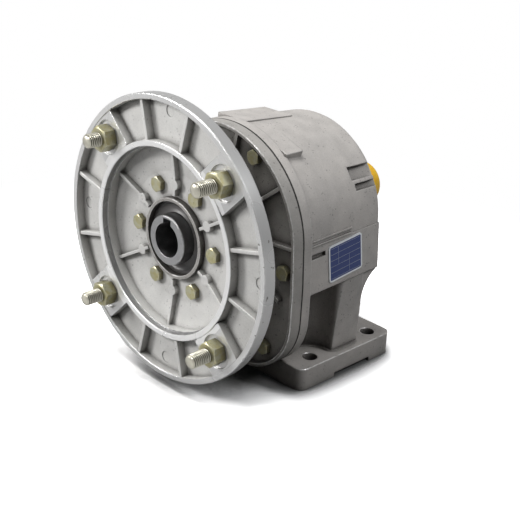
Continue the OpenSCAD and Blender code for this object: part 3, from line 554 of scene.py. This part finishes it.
def turned_material(name, colour, roughness, spacing=0.4 * MM, bump=0.05):
    """Turned or ground steel."""
    material, tree, place = new_material(name)
    lathe = placed(tree, "Turned marks", Vector=place, Spacing=spacing)
    edge = placed(tree, "Worn edges and painted light", Vector=place, Breakup=3 * MM)
    stain = ramp(tree, noise(tree, place, 6 * MM, 4.0, 0.6), 0.50, 0.72)
    base = laid_over(tree, scaled(tree, colour, lathe["Tone"]), (
        (times(tree, stain, 0.35), [c * 0.55 for c in colour]),
        # edges lightened where worn and by a painted highlight
        (times(tree, edge["Edge"], 0.5), (0.86, 0.86, 0.86))))
    rough = calc(tree, "MULTIPLY_ADD", stain, 0.15, roughness)
    shade(tree, base, rough, lathe["Height"], bump, edge["Normal"], Metallic=1.0)
    return material


def rubber_material(name, colour):
    """Black nitrile rubber with a little dust and oil."""
    material, tree, place = new_material(name)
    skin = noise(tree, place, 0.9 * MM, 3.0)
    dust = ramp(tree, noise(tree, place, 5 * MM, 4.0, 0.65), 0.48, 0.75)
    base = mix(tree, times(tree, dust, 0.35), colour, (0.12, 0.115, 0.105))
    shade(tree, base, ramp(tree, dust, 0.0, 1.0, 0.38, 0.62), skin, 0.08, Specular_IOR_Level=0.5)
    return material


def cap_material(name, colour):
    """Soft yellow plastic that lets a little light through."""
    material, tree, place = new_material(name)
    flow = ramp(tree, noise(tree, place, 12 * MM), 0.3, 0.7, 0.0, 0.5)
    skin = noise(tree, place, 1.2 * MM)
    scuff = ramp(tree, noise(tree, place, 3 * MM, 4.0, 0.7), 0.60, 0.75)
    base = laid_over(tree, colour, (
        (flow, (colour[0], colour[1] * 1.12, colour[2] * 1.8)),
        (times(tree, scuff, 0.25), (0.95, 0.72, 0.30))))
    shade(tree, base, calc(tree, "MULTIPLY_ADD", scuff, 0.2, 0.34), skin, 0.06, Subsurface_Weight=0.25,
          Subsurface_Radius=(4 * MM, 2 * MM, 0.5 * MM), Subsurface_Scale=1.0)
    return material


def plate_axes():
    """The nameplate's own directions: along its long side, up its short side and out of its face."""
    faces = frame["nodes"]["nameplate"].data.polygons
    out = max(faces, key=lambda f: f.area * (f.normal.x > 0.5)).normal.copy()
    up = max(faces, key=lambda f: f.area * (abs(f.normal.x) < 0.5 and f.normal.z > 0.5)).normal.copy()
    return up.cross(out), up, out


def plate_material(name, trim):
    """Anodised plate: blue field with empty ruled boxes, bare aluminium border."""
    material, tree, place = new_material(name)
    corners = [v.co for v in frame["nodes"]["nameplate"].data.vertices]
    offs, halves = [], []
    for axis in plate_axes()[:2]:
        reach = [c.dot(axis) for c in corners]
        middle, half = (max(reach) + min(reach)) / 2, (max(reach) - min(reach)) / 2
        offs.append(calc(tree, "SUBTRACT", vector(tree, "DOT_PRODUCT", place, axis), middle))
        halves.append(half)

    # distance inside the plate's rounded outline
    beyond_x, beyond_y = (calc(tree, "SUBTRACT", calc(tree, "ABSOLUTE", off), half - trim.plate_corner)
                          for off, half in zip(offs, halves))
    corner = combined(tree, X=most(tree, beyond_x, 0.0), Y=most(tree, beyond_y, 0.0))
    beyond = calc(tree, "ADD", vector(tree, "LENGTH", corner),
                  calc(tree, "MINIMUM", most(tree, beyond_x, beyond_y), 0.0))
    inside = calc(tree, "SUBTRACT", trim.plate_corner, beyond)
    field = ramp(tree, inside, trim.plate_border, trim.plate_border + 0.2 * MM)

    line = ruled_boxes(tree, offs, halves, trim.plate_border + 1.2 * MM)
    worn = ramp(tree, noise(tree, place, 4 * MM, 4.0, 0.7), 0.52, 0.75)
    blue = laid_over(tree, trim.plate_colour, (
        (times(tree, worn, 0.2), (0.05, 0.08, 0.20)),
        (times(tree, line, 0.7), (0.42, 0.46, 0.55))))
    brushed = streaks(tree, place, (3000, 150, 3000))
    bare = scaled(tree, (0.80, 0.83, 0.86), calc(tree, "MULTIPLY_ADD", brushed, 0.16, 0.92))
    shade(tree, mix(tree, field, bare, blue), calc(tree, "MULTIPLY_ADD", worn, 0.15, 0.34), brushed, 0.03,
          Metallic=calc(tree, "MULTIPLY_ADD", field, -0.1, 0.2), Specular_IOR_Level=0.3)
    return material


def ruled_boxes(tree, offs, halves, margin):
    """1 on the thin lines of a form with five rows, split after its first quarter and past its middle."""
    along, up = offs
    half_along, half_up = halves[0] - margin, halves[1] - margin
    row = 2 * half_up / 5
    thin = 0.14 * MM

    def near(value, reach):
        """1 where value lies within reach of 0."""
        return calc(tree, "LESS_THAN", calc(tree, "ABSOLUTE", value), reach)

    lines = near(calc(tree, "WRAP", calc(tree, "ADD", up, half_up), row / 2, -row / 2), thin)
    for split, low, high in ((-0.5, -0.2, 1.1), (0.25, -1.1, 0.2)):
        post = times(tree, near(calc(tree, "SUBTRACT", along, split * half_along), thin),
                     calc(tree, "GREATER_THAN", up, low * half_up),
                     calc(tree, "LESS_THAN", up, high * half_up))
        lines = most(tree, lines, post)
    return times(tree, lines, near(along, half_along + thin), near(up, half_up + thin))


# ---- Mesh helpers ----


def solids(name):
    """The separate solids of a CAD node: each one's box, its middle, and its widest direction round Y."""
    work = bmesh.new()
    work.from_mesh(frame["nodes"][name].data)
    bmesh.ops.remove_doubles(work, verts=work.verts, dist=0.001 * MM)
    work.verts.ensure_lookup_table()
    found, seen = [], set()
    for start in work.verts:
        if start.index in seen:
            continue
        stack, group = [start], []
        seen.add(start.index)
        while stack:
            here = stack.pop()
            group.append(here.co.copy())
            for edge in here.link_edges:
                other = edge.other_vert(here)
                if other.index not in seen:
                    seen.add(other.index)
                    stack.append(other)
        low = Vector(min(p[i] for p in group) for i in range(3))
        high = Vector(max(p[i] for p in group) for i in range(3))
        centre = (low + high) / 2
        far = max(group, key=lambda p: round(math.hypot(p.x - centre.x, p.z - centre.z), 6))
        found.append({"low": low, "high": high, "centre": centre,
                      "turn": math.atan2(far.x - centre.x, far.z - centre.z)})
    work.free()
    return found


def length_of(solid):
    """A solid's length along the shaft's direction."""
    return solid["high"].y - solid["low"].y


def across_flats(found):
    """Width across the flats of a node's hexagons, from the widest of their boxes."""
    corners = max(max(s["high"].x - s["low"].x, s["high"].z - s["low"].z) for s in found)
    return corners / 2 * math.sqrt(3)


def new_mesh_object(name, verts, faces=(), material=None):
    """An object in the scene with a mesh of its own."""
    mesh = bpy.data.meshes.new(name)
    mesh.from_pydata(verts, [], faces)
    mesh.update()
    piece = bpy.data.objects.new(name, mesh)
    bpy.context.scene.collection.objects.link(piece)
    if material:
        mesh.materials.append(material)
    return piece


def turned_piece(name, profile, material, steps=128):
    """A closed profile of (radius, y) points in metres, turned about the shaft axis."""
    count = len(profile)
    verts = [(r * math.sin(2 * math.pi * s / steps), y, AXIS_Z + r * math.cos(2 * math.pi * s / steps))
             for s in range(steps) for r, y in profile]
    faces = [(s * count + k, s * count + (k + 1) % count,
              (s + 1) % steps * count + (k + 1) % count, (s + 1) % steps * count + k)
             for s in range(steps) for k in range(count)]
    piece = new_mesh_object(name, verts, faces, material)
    finish_mesh(piece, 35)
    return piece


def finish_mesh(piece, degrees):
    """Turns a piece's faces outwards and shades it smooth, with edges sharper than degrees kept."""
    work = bmesh.new()
    work.from_mesh(piece.data)
    bmesh.ops.remove_doubles(work, verts=work.verts, dist=0.0005 * MM)
    bmesh.ops.recalc_face_normals(work, faces=work.faces)
    work.normal_update()
    for edge in work.edges:
        edge.smooth = len(edge.link_faces) == 2 and edge.calc_face_angle(0) < math.radians(degrees)
    for face in work.faces:
        face.smooth = True
    work.to_mesh(piece.data)
    work.free()


def points_object(name, places, **attributes):
    """A mesh of loose points that carries named numbers for a node tree."""
    piece = new_mesh_object(name, places)
    for key, values in attributes.items():
        layer = piece.data.attributes.new(key, "FLOAT", "POINT")
        for index, value in enumerate(values):
            layer.data[index].value = value
    return piece


def grow(piece, tree, **inputs):
    """Runs a geometry node tree on a piece with the given inputs, and keeps the result as its mesh."""
    modifier = piece.modifiers.new(tree.name, "NODES")
    modifier.node_group = tree
    for item in tree.interface.items_tree:
        if item.in_out == "INPUT" and item.name in inputs:
            modifier[item.identifier] = inputs[item.name]
    bpy.context.view_layer.update()
    depsgraph = bpy.context.evaluated_depsgraph_get()
    result = bpy.data.meshes.new_from_object(piece.evaluated_get(depsgraph))
    piece.modifiers.clear()
    old = piece.data
    piece.data = result
    bpy.data.meshes.remove(old)
    result.name = piece.name
    if not result.polygons:
        raise RuntimeError(f"{piece.name}: the node tree made no faces")


# ---- Geometry trees ----


def with_place(tree, geometry, label):
    """A geometry whose points remember where they are, and that memory."""
    capture = tree.nodes.new("GeometryNodeCaptureAttribute")
    capture.capture_items.new("VECTOR", label)
    tree.links.new(geometry, capture.inputs["Geometry"])
    tree.links.new(tree.nodes.new("GeometryNodeInputPosition").outputs[0], capture.inputs[label])
    return capture.outputs["Geometry"], capture.outputs[label]


def clad(tree, geometry, given, out):
    """Ends a tree: its geometry gets the tree's material."""
    made = node(tree, "GeometryNodeSetMaterial", {"Geometry": geometry, "Material": given["Material"]})
    tree.links.new(made.outputs[0], out["Geometry"])


def thread_tree():
    """Threaded studs along -Y: each point is a stud's tip, with its length as an attribute."""
    tree, given, out = new_geometry_tree("Threaded studs", [
        ("Radius", "NodeSocketFloat", 5 * MM), ("Pitch", "NodeSocketFloat", 1.5 * MM),
        ("Depth", "NodeSocketFloat", 0.8 * MM), ("Material", "NodeSocketMaterial", None)])
    bar = node(tree, "GeometryNodeMeshCylinder",
               {"Vertices": 40, "Side Segments": 190, "Radius": 1.0, "Depth": 1.0},
               fill_type="TRIANGLE_FAN")
    bar, local = with_place(tree, bar.outputs["Mesh"], "Local")
    tips, seat = with_place(tree, given["Geometry"], "Seat")
    spread = node(tree, "GeometryNodeInstanceOnPoints", {"Points": tips, "Instance": bar})
    studs = node(tree, "GeometryNodeRealizeInstances", {"Geometry": spread.outputs[0]})

    # the unit bar is stretched to the stud's length, and its skin is drawn in along a helix
    length = node(tree, "GeometryNodeInputNamedAttribute", {"Name": "length"}, data_type="FLOAT")
    axes = node(tree, "ShaderNodeSeparateXYZ", {0: local}).outputs
    along = times(tree, calc(tree, "ADD", axes["Z"], 0.5), length.outputs[0])
    angle = calc(tree, "ARCTAN2", axes["Y"], axes["X"])
    turn = calc(tree, "ADD", calc(tree, "DIVIDE", along, given["Pitch"]),
                calc(tree, "DIVIDE", angle, 2 * math.pi))
    wave = calc(tree, "ABSOLUTE",
                calc(tree, "SUBTRACT", times(tree, calc(tree, "FRACT", turn), 2.0), 1.0))
    # the crests and roots of the wave are cut flat
    cut = times(tree, calc(tree, "MULTIPLY_ADD", wave, 1.3, -0.12, clamp=True), given["Depth"])
    chamfer = calc(tree, "ADD", calc(tree, "SUBTRACT", given["Radius"], STUD_CHAMFER), along)
    radius = calc(tree, "MINIMUM", calc(tree, "SUBTRACT", given["Radius"], cut), chamfer)
    valley = times(tree, calc(tree, "DIVIDE", cut, given["Depth"]),
                   calc(tree, "GREATER_THAN", along, STUD_CHAMFER))
    marked = node(tree, "GeometryNodeStoreNamedAttribute",
                  {"Geometry": studs.outputs[0], "Name": "valley", "Value": valley},
                  data_type="FLOAT", domain="POINT")
    where = combined(tree, X=times(tree, axes["X"], radius), Y=along, Z=times(tree, axes["Y"], radius))
    moved = node(tree, "GeometryNodeSetPosition",
                 {"Geometry": marked.outputs[0], "Position": vector(tree, "ADD", where, seat)})
    clad(tree, moved.outputs[0], given, out)
    return tree


def joined_solid(tree, operation, first, second):
    """Two closed meshes intersected, or the second cut from the first."""
    made = node(tree, "GeometryNodeMeshBoolean", operation=operation, solver="EXACT")
    tree.links.new(first, made.inputs["Mesh 1" if operation == "DIFFERENCE" else "Mesh 2"])
    tree.links.new(second, made.inputs["Mesh 2"])
    return made.outputs[0]


def shifted(tree, geometry, up):
    """A geometry moved along Z."""
    moved = node(tree, "GeometryNodeTransform", {"Geometry": geometry, "Translation": combined(tree, Z=up)})
    return moved.outputs[0]


def hexagon(tree, across, height, both_ends, chamfer):
    """A hexagonal prism along Z from 0 up, with its corners turned off at the top or at both ends."""
    corner = calc(tree, "DIVIDE", across, math.sqrt(3))
    prism = node(tree, "GeometryNodeMeshCylinder",
                 {"Vertices": 6, "Radius": corner, "Depth": height}, fill_type="NGON")
    shape = shifted(tree, prism.outputs["Mesh"], calc(tree, "DIVIDE", height, 2.0))
    # a cone narrower than the flats at one end and wide enough at the other
    narrow = times(tree, across, 0.47)
    wide = calc(tree, "ADD", narrow, calc(tree, "DIVIDE", height, calc(tree, "TANGENT", chamfer)))
    for top, bottom in ((narrow, wide), (wide, narrow))[:2 if both_ends else 1]:
        cone = node(tree, "GeometryNodeMeshCone",
                    {"Vertices": 64, "Depth": height, "Radius Top": top, "Radius Bottom": bottom},
                    fill_type="NGON")
        shape = joined_solid(tree, "INTERSECT", shape, cone.outputs["Mesh"])
    return shape


def fastener_tree(name, is_nut):
    """Hexagon nuts or screws that point along -Y, one on each point, turned by its own angle.

    Rod is the radius of a nut's hole or of a screw's shank, and Shank is the shank's length.
    """
    tree, given, out = new_geometry_tree(name, [
        ("Across", "NodeSocketFloat", 16.6 * MM), ("Height", "NodeSocketFloat", 8.4 * MM),
        ("Rod", "NodeSocketFloat", 4.8 * MM), ("Shank", "NodeSocketFloat", 10 * MM),
        ("Chamfer", "NodeSocketFloat", 0.52), ("Material", "NodeSocketMaterial", None)])
    shape = hexagon(tree, given["Across"], given["Height"], is_nut, given["Chamfer"])
    rod_length = times(tree, given["Height"], 3.0) if is_nut else given["Shank"]
    rod = node(tree, "GeometryNodeMeshCylinder",
               {"Vertices": 48, "Radius": given["Rod"], "Depth": rod_length},
               fill_type="NGON").outputs["Mesh"]
    if is_nut:
        shape = joined_solid(tree, "DIFFERENCE", shape, rod)
    else:
        both = tree.nodes.new("GeometryNodeJoinGeometry")
        below = calc(tree, "MULTIPLY_ADD", given["Shank"], -0.5, 0.1 * MM)
        tree.links.new(shifted(tree, rod, below), both.inputs[0])
        tree.links.new(shape, both.inputs[0])
        shape = both.outputs[0]
    laid = node(tree, "GeometryNodeTransform", {"Geometry": shape, "Rotation": (math.radians(90), 0, 0)})
    turn = node(tree, "GeometryNodeInputNamedAttribute", {"Name": "turn"}, data_type="FLOAT")
    spread = node(tree, "GeometryNodeInstanceOnPoints",
                  {"Points": given["Geometry"], "Instance": laid.outputs[0],
                   "Rotation": combined(tree, Y=turn.outputs[0])})
    real = node(tree, "GeometryNodeRealizeInstances", {"Geometry": spread.outputs[0]})
    clad(tree, real.outputs[0], given, out)
    return tree


# ---- Operators ----


def dress(names, material):
    """Gives CAD nodes their finish."""
    for name in names:
        mesh = frame["nodes"][name].data
        mesh.materials.clear()
        mesh.materials.append(material)


def yellow_zinc(fasteners):
    """The finish that the nuts and screws share."""
    name = "Yellow zinc"
    return bpy.data.materials.get(name) or plated_material(name, fasteners.zinc_colour, (0.44, 0.43, 0.31))


def hexagon_points(name, found, start):
    """A point at the seat of each hexagon, with the angle that brings its corners where the solid's are."""
    places = [(s["centre"].x, start(s), s["centre"].z) for s in found]
    return points_object(name, places, turn=[s["turn"] - math.radians(90) for s in found])


class REDUCER_OT_castings(bpy.types.Operator):
    """Finish the housing, the input cover and the motor flange"""

    bl_idname = "reducer.castings"
    bl_label = "Castings"

    def execute(self, context):
        castings = context.scene.reducer_castings
        dress(["housing"], casting_material(
            "Blasted aluminium", castings, castings.housing_colour, mottle=0.36, pores=0.40, corner_shade=0.6,
            highlight_and_wear=0.3, shelter=(0.15, 0.62)))
        dress(["input_cover"], casting_material(
            "Cover aluminium", castings, castings.cover_colour, mottle=0.40, pores=0.45, corner_shade=0.7,
            highlight_and_wear=0.8, shelter=(0.30, 0.90)))
        dress(["motor_flange"], flange_material("Flange aluminium", castings))
        return {"FINISHED"}


class REDUCER_OT_studs(bpy.types.Operator):
    """Cut the threads on the motor studs"""

    bl_idname = "reducer.studs"
    bl_label = "Motor studs"

    def execute(self, context):
        fasteners = context.scene.reducer_fasteners
        found = solids("flange_studs")
        tips = [(s["centre"].x, s["low"].y, s["centre"].z) for s in found]
        studs = points_object("threaded_studs", tips, length=[length_of(s) for s in found])
        grow(studs, thread_tree(), Radius=(found[0]["high"].x - found[0]["low"].x) / 2,
             Pitch=fasteners.pitch, Depth=fasteners.thread_depth,
             Material=thread_material("Zinc steel", fasteners.stud_colour))
        finish_mesh(studs, 50)
        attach(studs, "casing")
        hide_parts("flange_studs")
        return {"FINISHED"}


class REDUCER_OT_nuts(bpy.types.Operator):
    """Fit the chamfered nuts on the motor studs"""

    bl_idname = "reducer.nuts"
    bl_label = "Stud nuts"

    def execute(self, context):
        fasteners = context.scene.reducer_fasteners
        found = solids("stud_nuts")
        nuts = hexagon_points("hexagon_nuts", found, lambda s: s["high"].y)
        grow(nuts, fastener_tree("Hexagon nuts", True), Across=across_flats(found),
             Height=length_of(found[0]), Rod=NUT_HOLE_R, Chamfer=fasteners.chamfer,
             Material=yellow_zinc(fasteners))
        finish_mesh(nuts, 20)
        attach(nuts, "casing")
        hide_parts("stud_nuts")
        return {"FINISHED"}


class REDUCER_OT_screws(bpy.types.Operator):
    """Fit the screws of the motor flange and the input cover"""

    bl_idname = "reducer.screws"
    bl_label = "Hexagon screws"

    def execute(self, context):
        fasteners = context.scene.reducer_fasteners
        tree = fastener_tree("Hexagon screws", False)
        for name, source in (("flange_bolts", "flange_screws"), ("cover_bolts", "cover_screws")):
            found = solids(source)
            bolts = hexagon_points(name, found, lambda s: s["low"].y + HEAD_HEIGHT)
            grow(bolts, tree, Across=across_flats(found), Height=HEAD_HEIGHT, Rod=SHANK_R,
                 Shank=length_of(found[0]) - HEAD_HEIGHT, Chamfer=fasteners.chamfer,
                 Material=yellow_zinc(fasteners))
            finish_mesh(bolts, 20)
            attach(bolts, "casing")
            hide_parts(source)
        return {"FINISHED"}


class REDUCER_OT_seals(bpy.types.Operator):
    """Mould the seals' lips and lay the gasket"""

    bl_idname = "reducer.seals"
    bl_label = "Seals and gasket"

    def execute(self, context):
        rubber = rubber_material("Seal rubber", context.scene.reducer_trim.rubber_colour)
        low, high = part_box("input_seal")
        front, back, outer = low.y, high.y, (high.x - low.x) / 2
        lip = min(math.hypot(v.co.x, v.co.z - AXIS_Z) for v in frame["nodes"]["input_seal"].data.vertices)
        # in millimetres from a radius and from an end: round the front, in past the dust lip
        # and the oil lip, and out again along the back of the web
        rings = (
            (outer, 0, front, 0.6), (outer, -0.6, front, 0), (outer, -2.2, front, 0),
            (outer, -2.8, front, 0.7), (lip, 3.2, front, 1.4), (lip, 1.6, front, 0.9),
            (lip, 0.25, front, 0.2), (lip, 0, front, 0.7), (lip, 1.3, front, 2.6), (lip, 1.2, front, 4.4),
            (lip, 0, back, -4.2), (lip, 0.2, back, -3.4), (lip, 2.0, back, -3.2), (lip, 2.6, front, 2.8),
            (outer, -1.5, front, 2.8), (outer, -1.5, back, 0), (outer, 0, back, 0))
        profile = [(radius + off * MM, end + on * MM) for radius, off, end, on in rings]
        seal = turned_piece("lip_seal", profile, rubber)
        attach(seal, "casing")
        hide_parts("input_seal")
        dress(["output_seal", "cover_gasket"], rubber)
        return {"FINISHED"}


class REDUCER_OT_plate(bpy.types.Operator):
    """Press the nameplate, which carries no print"""

    bl_idname = "reducer.plate"
    bl_label = "Nameplate"

    def execute(self, context):
        dress(["nameplate"], plate_material("Anodised plate", context.scene.reducer_trim))
        return {"FINISHED"}


class REDUCER_OT_shafts(bpy.types.Operator):
    """Finish the shafts, the cap and the drive inside"""

    bl_idname = "reducer.shafts"
    bl_label = "Shafts, cap and drive"

    def execute(self, context):
        dress(["input_shaft", "output_shaft", "output_key", "output_pins", "ring_pins", "ring_dowels",
               "bearing_sleeve"], turned_material("Turned steel", (0.29, 0.29, 0.295), 0.34))
        dress([n for n in frame["nodes"] if "bearing_" in n and n != "bearing_sleeve"] +
              ["ring_rollers", "output_rollers"],
              turned_material("Bearing steel", (0.72, 0.72, 0.73), 0.16, 0.3 * MM, 0.02))
        dress(["input_bearing_ring", "shaft_retaining_ring"],
              turned_material("Dark steel", (0.16, 0.155, 0.15), 0.38))
        dress(["cycloid_disc_a", "cycloid_disc_b", "ring_gear_housing", "ring_pin_retainer"],
              turned_material("Ground steel", (0.44, 0.44, 0.45), 0.32, 0.6 * MM, 0.04))
        dress(["shaft_cap"], cap_material("Yellow plastic", context.scene.reducer_trim.cap_colour))
        return {"FINISHED"}


class REDUCER_OT_stage(bpy.types.Operator):
    """Set the camera, the floor and the lamps"""

    bl_idname = "reducer.stage"
    bl_label = "Stage"

    def execute(self, context):
        stage = context.scene.reducer_stage
        self.camera(stage)
        self.floor(stage)
        self.lamps()
        self.world()
        context.scene.view_settings.view_transform = "Standard"
        return {"FINISHED"}

    def camera(self, stage):
        """Aims the camera from its place by azimuth, elevation and roll."""
        data = bpy.data.cameras.new("camera")
        data.lens = stage.lens
        data.sensor_width = 36
        data.shift_x, data.shift_y = CAMERA_SHIFT
        data.clip_start, data.clip_end = 0.01, 50
        camera = bpy.data.objects.new("camera", data)
        bpy.context.scene.collection.objects.link(camera)
        az, el, roll = stage.azimuth, stage.elevation, stage.roll
        back = Vector((math.sin(az) * math.cos(el), -math.cos(az) * math.cos(el), math.sin(el)))
        right = (-back).cross(Vector((0, 0, 1))).normalized()
        up = right.cross(-back)
        side = right * math.cos(roll) + up * math.sin(roll)
        top = up * math.cos(roll) - right * math.sin(roll)
        turn = Matrix((side, top, back)).transposed().to_4x4()
        camera.matrix_world = Matrix.Translation(Vector(CAMERA_PLACE)) @ turn
        bpy.context.scene.camera = camera

    def floor(self, stage):
        """Lays a pale floor that darkens under the object and fades into the backdrop."""
        corners = [(x * FLOOR_HALF, y * FLOOR_HALF, 0) for x, y in ((-1, -1), (1, -1), (1, 1), (-1, 1))]
        material, tree, place = new_material("Studio floor")
        path = tree.nodes.new("ShaderNodeLightPath").outputs
        mirrored = most(tree, path["Is Glossy Ray"], path["Is Transmission Ray"])
        tone = calc(tree, "MULTIPLY_ADD", path["Is Camera Ray"], FLOOR_SEEN - FLOOR_BOUNCE, FLOOR_BOUNCE)
        tone = calc(tree, "MULTIPLY_ADD", mirrored, FLOOR_MIRRORED - FLOOR_BOUNCE, tone)
        # an occlusion mask darkens the floor's colour near the object: a painted contact shadow beside the lamps'
        # own
        shut = node(tree, "ShaderNodeAmbientOcclusion", {"Distance": CONTACT_REACH}, samples=16)
        tone = times(tree, tone, ramp(tree, shut.outputs["AO"], 0.50, 0.95, 0.05, 1.0))
        sheet = node(tree, "ShaderNodeBsdfDiffuse", {"Color": scaled(tree, stage.floor_colour, tone)})
        light = node(tree, "ShaderNodeEmission",
                     {"Strength": calc(tree, "MULTIPLY_ADD", mirrored, FLOOR_MIRRORED - 1.0, 1.0)})
        from_middle = vector(tree, "LENGTH", vector(tree, "SUBTRACT", place, FLOOR_MIDDLE))
        seen = most(tree, path["Is Camera Ray"], mirrored)
        far = times(tree, ramp(tree, from_middle, *FLOOR_FADE), seen)
        blend = node(tree, "ShaderNodeMixShader", {0: far, 1: sheet.outputs[0], 2: light.outputs[0]})
        finish_surface(tree, blend.outputs[0])
        new_mesh_object("floor", corners, [(0, 1, 2, 3)], material)

    def lamps(self):
        """Hangs the lamps and points each at its target."""
        for name, place, target, size, power, colour in LAMPS:
            data = bpy.data.lights.new(name, "AREA")
            data.shape = "SQUARE"
            data.size = size
            data.energy = power
            data.color = colour
            lamp = bpy.data.objects.new(name, data)
            bpy.context.scene.collection.objects.link(lamp)
            lamp.location = place
            lamp.rotation_mode = "QUATERNION"
            lamp.rotation_quaternion = (Vector(target) - Vector(place)).to_track_quat("-Z", "Y")

    def world(self):
        """Surroundings that are white to the camera and dim to everything else."""
        world = bpy.data.worlds.new("studio")
        bpy.context.scene.world = world
        world.use_nodes = True
        tree = world.node_tree
        tree.nodes.clear()
        path = tree.nodes.new("ShaderNodeLightPath").outputs
        mirrored = times(tree, path["Is Glossy Ray"], SKY_MIRRORED)
        strength = most(tree, path["Is Camera Ray"], mirrored, SKY_FILL)
        sky = node(tree, "ShaderNodeBackground", {"Color": (1, 1, 1), "Strength": strength})
        out = tree.nodes.new("ShaderNodeOutputWorld")
        tree.links.new(sky.outputs[0], out.inputs[0])


OPERATORS = (REDUCER_OT_stage, REDUCER_OT_castings, REDUCER_OT_studs, REDUCER_OT_nuts, REDUCER_OT_screws,
             REDUCER_OT_seals, REDUCER_OT_plate, REDUCER_OT_shafts)

SETTINGS = {"reducer_castings": CastingSettings, "reducer_fasteners": FastenerSettings,
            "reducer_trim": TrimSettings, "reducer_stage": StageSettings}


class REDUCER_PT_panel(bpy.types.Panel):
    """Lists the reducer's pieces and settings"""

    bl_idname = "REDUCER_PT_panel"
    bl_label = "Cycloidal reducer"
    bl_space_type = "VIEW_3D"
    bl_region_type = "UI"
    bl_category = "Reducer"

    def draw(self, context):
        for name in SETTINGS:
            group = getattr(context.scene, name)
            box = self.layout.box()
            for key in group.bl_rna.properties.keys():
                if key not in ("rna_type", "name"):
                    box.prop(group, key)
        for operator in OPERATORS:
            self.layout.operator(operator.bl_idname)


def register():
    for name, group in SETTINGS.items():
        bpy.utils.register_class(group)
        setattr(bpy.types.Scene, name, bpy.props.PointerProperty(type=group))
    for operator in OPERATORS:
        bpy.utils.register_class(operator)
    bpy.utils.register_class(REDUCER_PT_panel)


def unregister():
    bpy.utils.unregister_class(REDUCER_PT_panel)
    for operator in reversed(OPERATORS):
        bpy.utils.unregister_class(operator)
    for name, group in SETTINGS.items():
        delattr(bpy.types.Scene, name)
        bpy.utils.unregister_class(group)


def main():
    """Registers the classes and runs the operators in order."""
    register()
    for operator in OPERATORS:
        getattr(bpy.ops.reducer, operator.bl_idname.split(".")[1])()


if __name__ == "__main__":
    main()
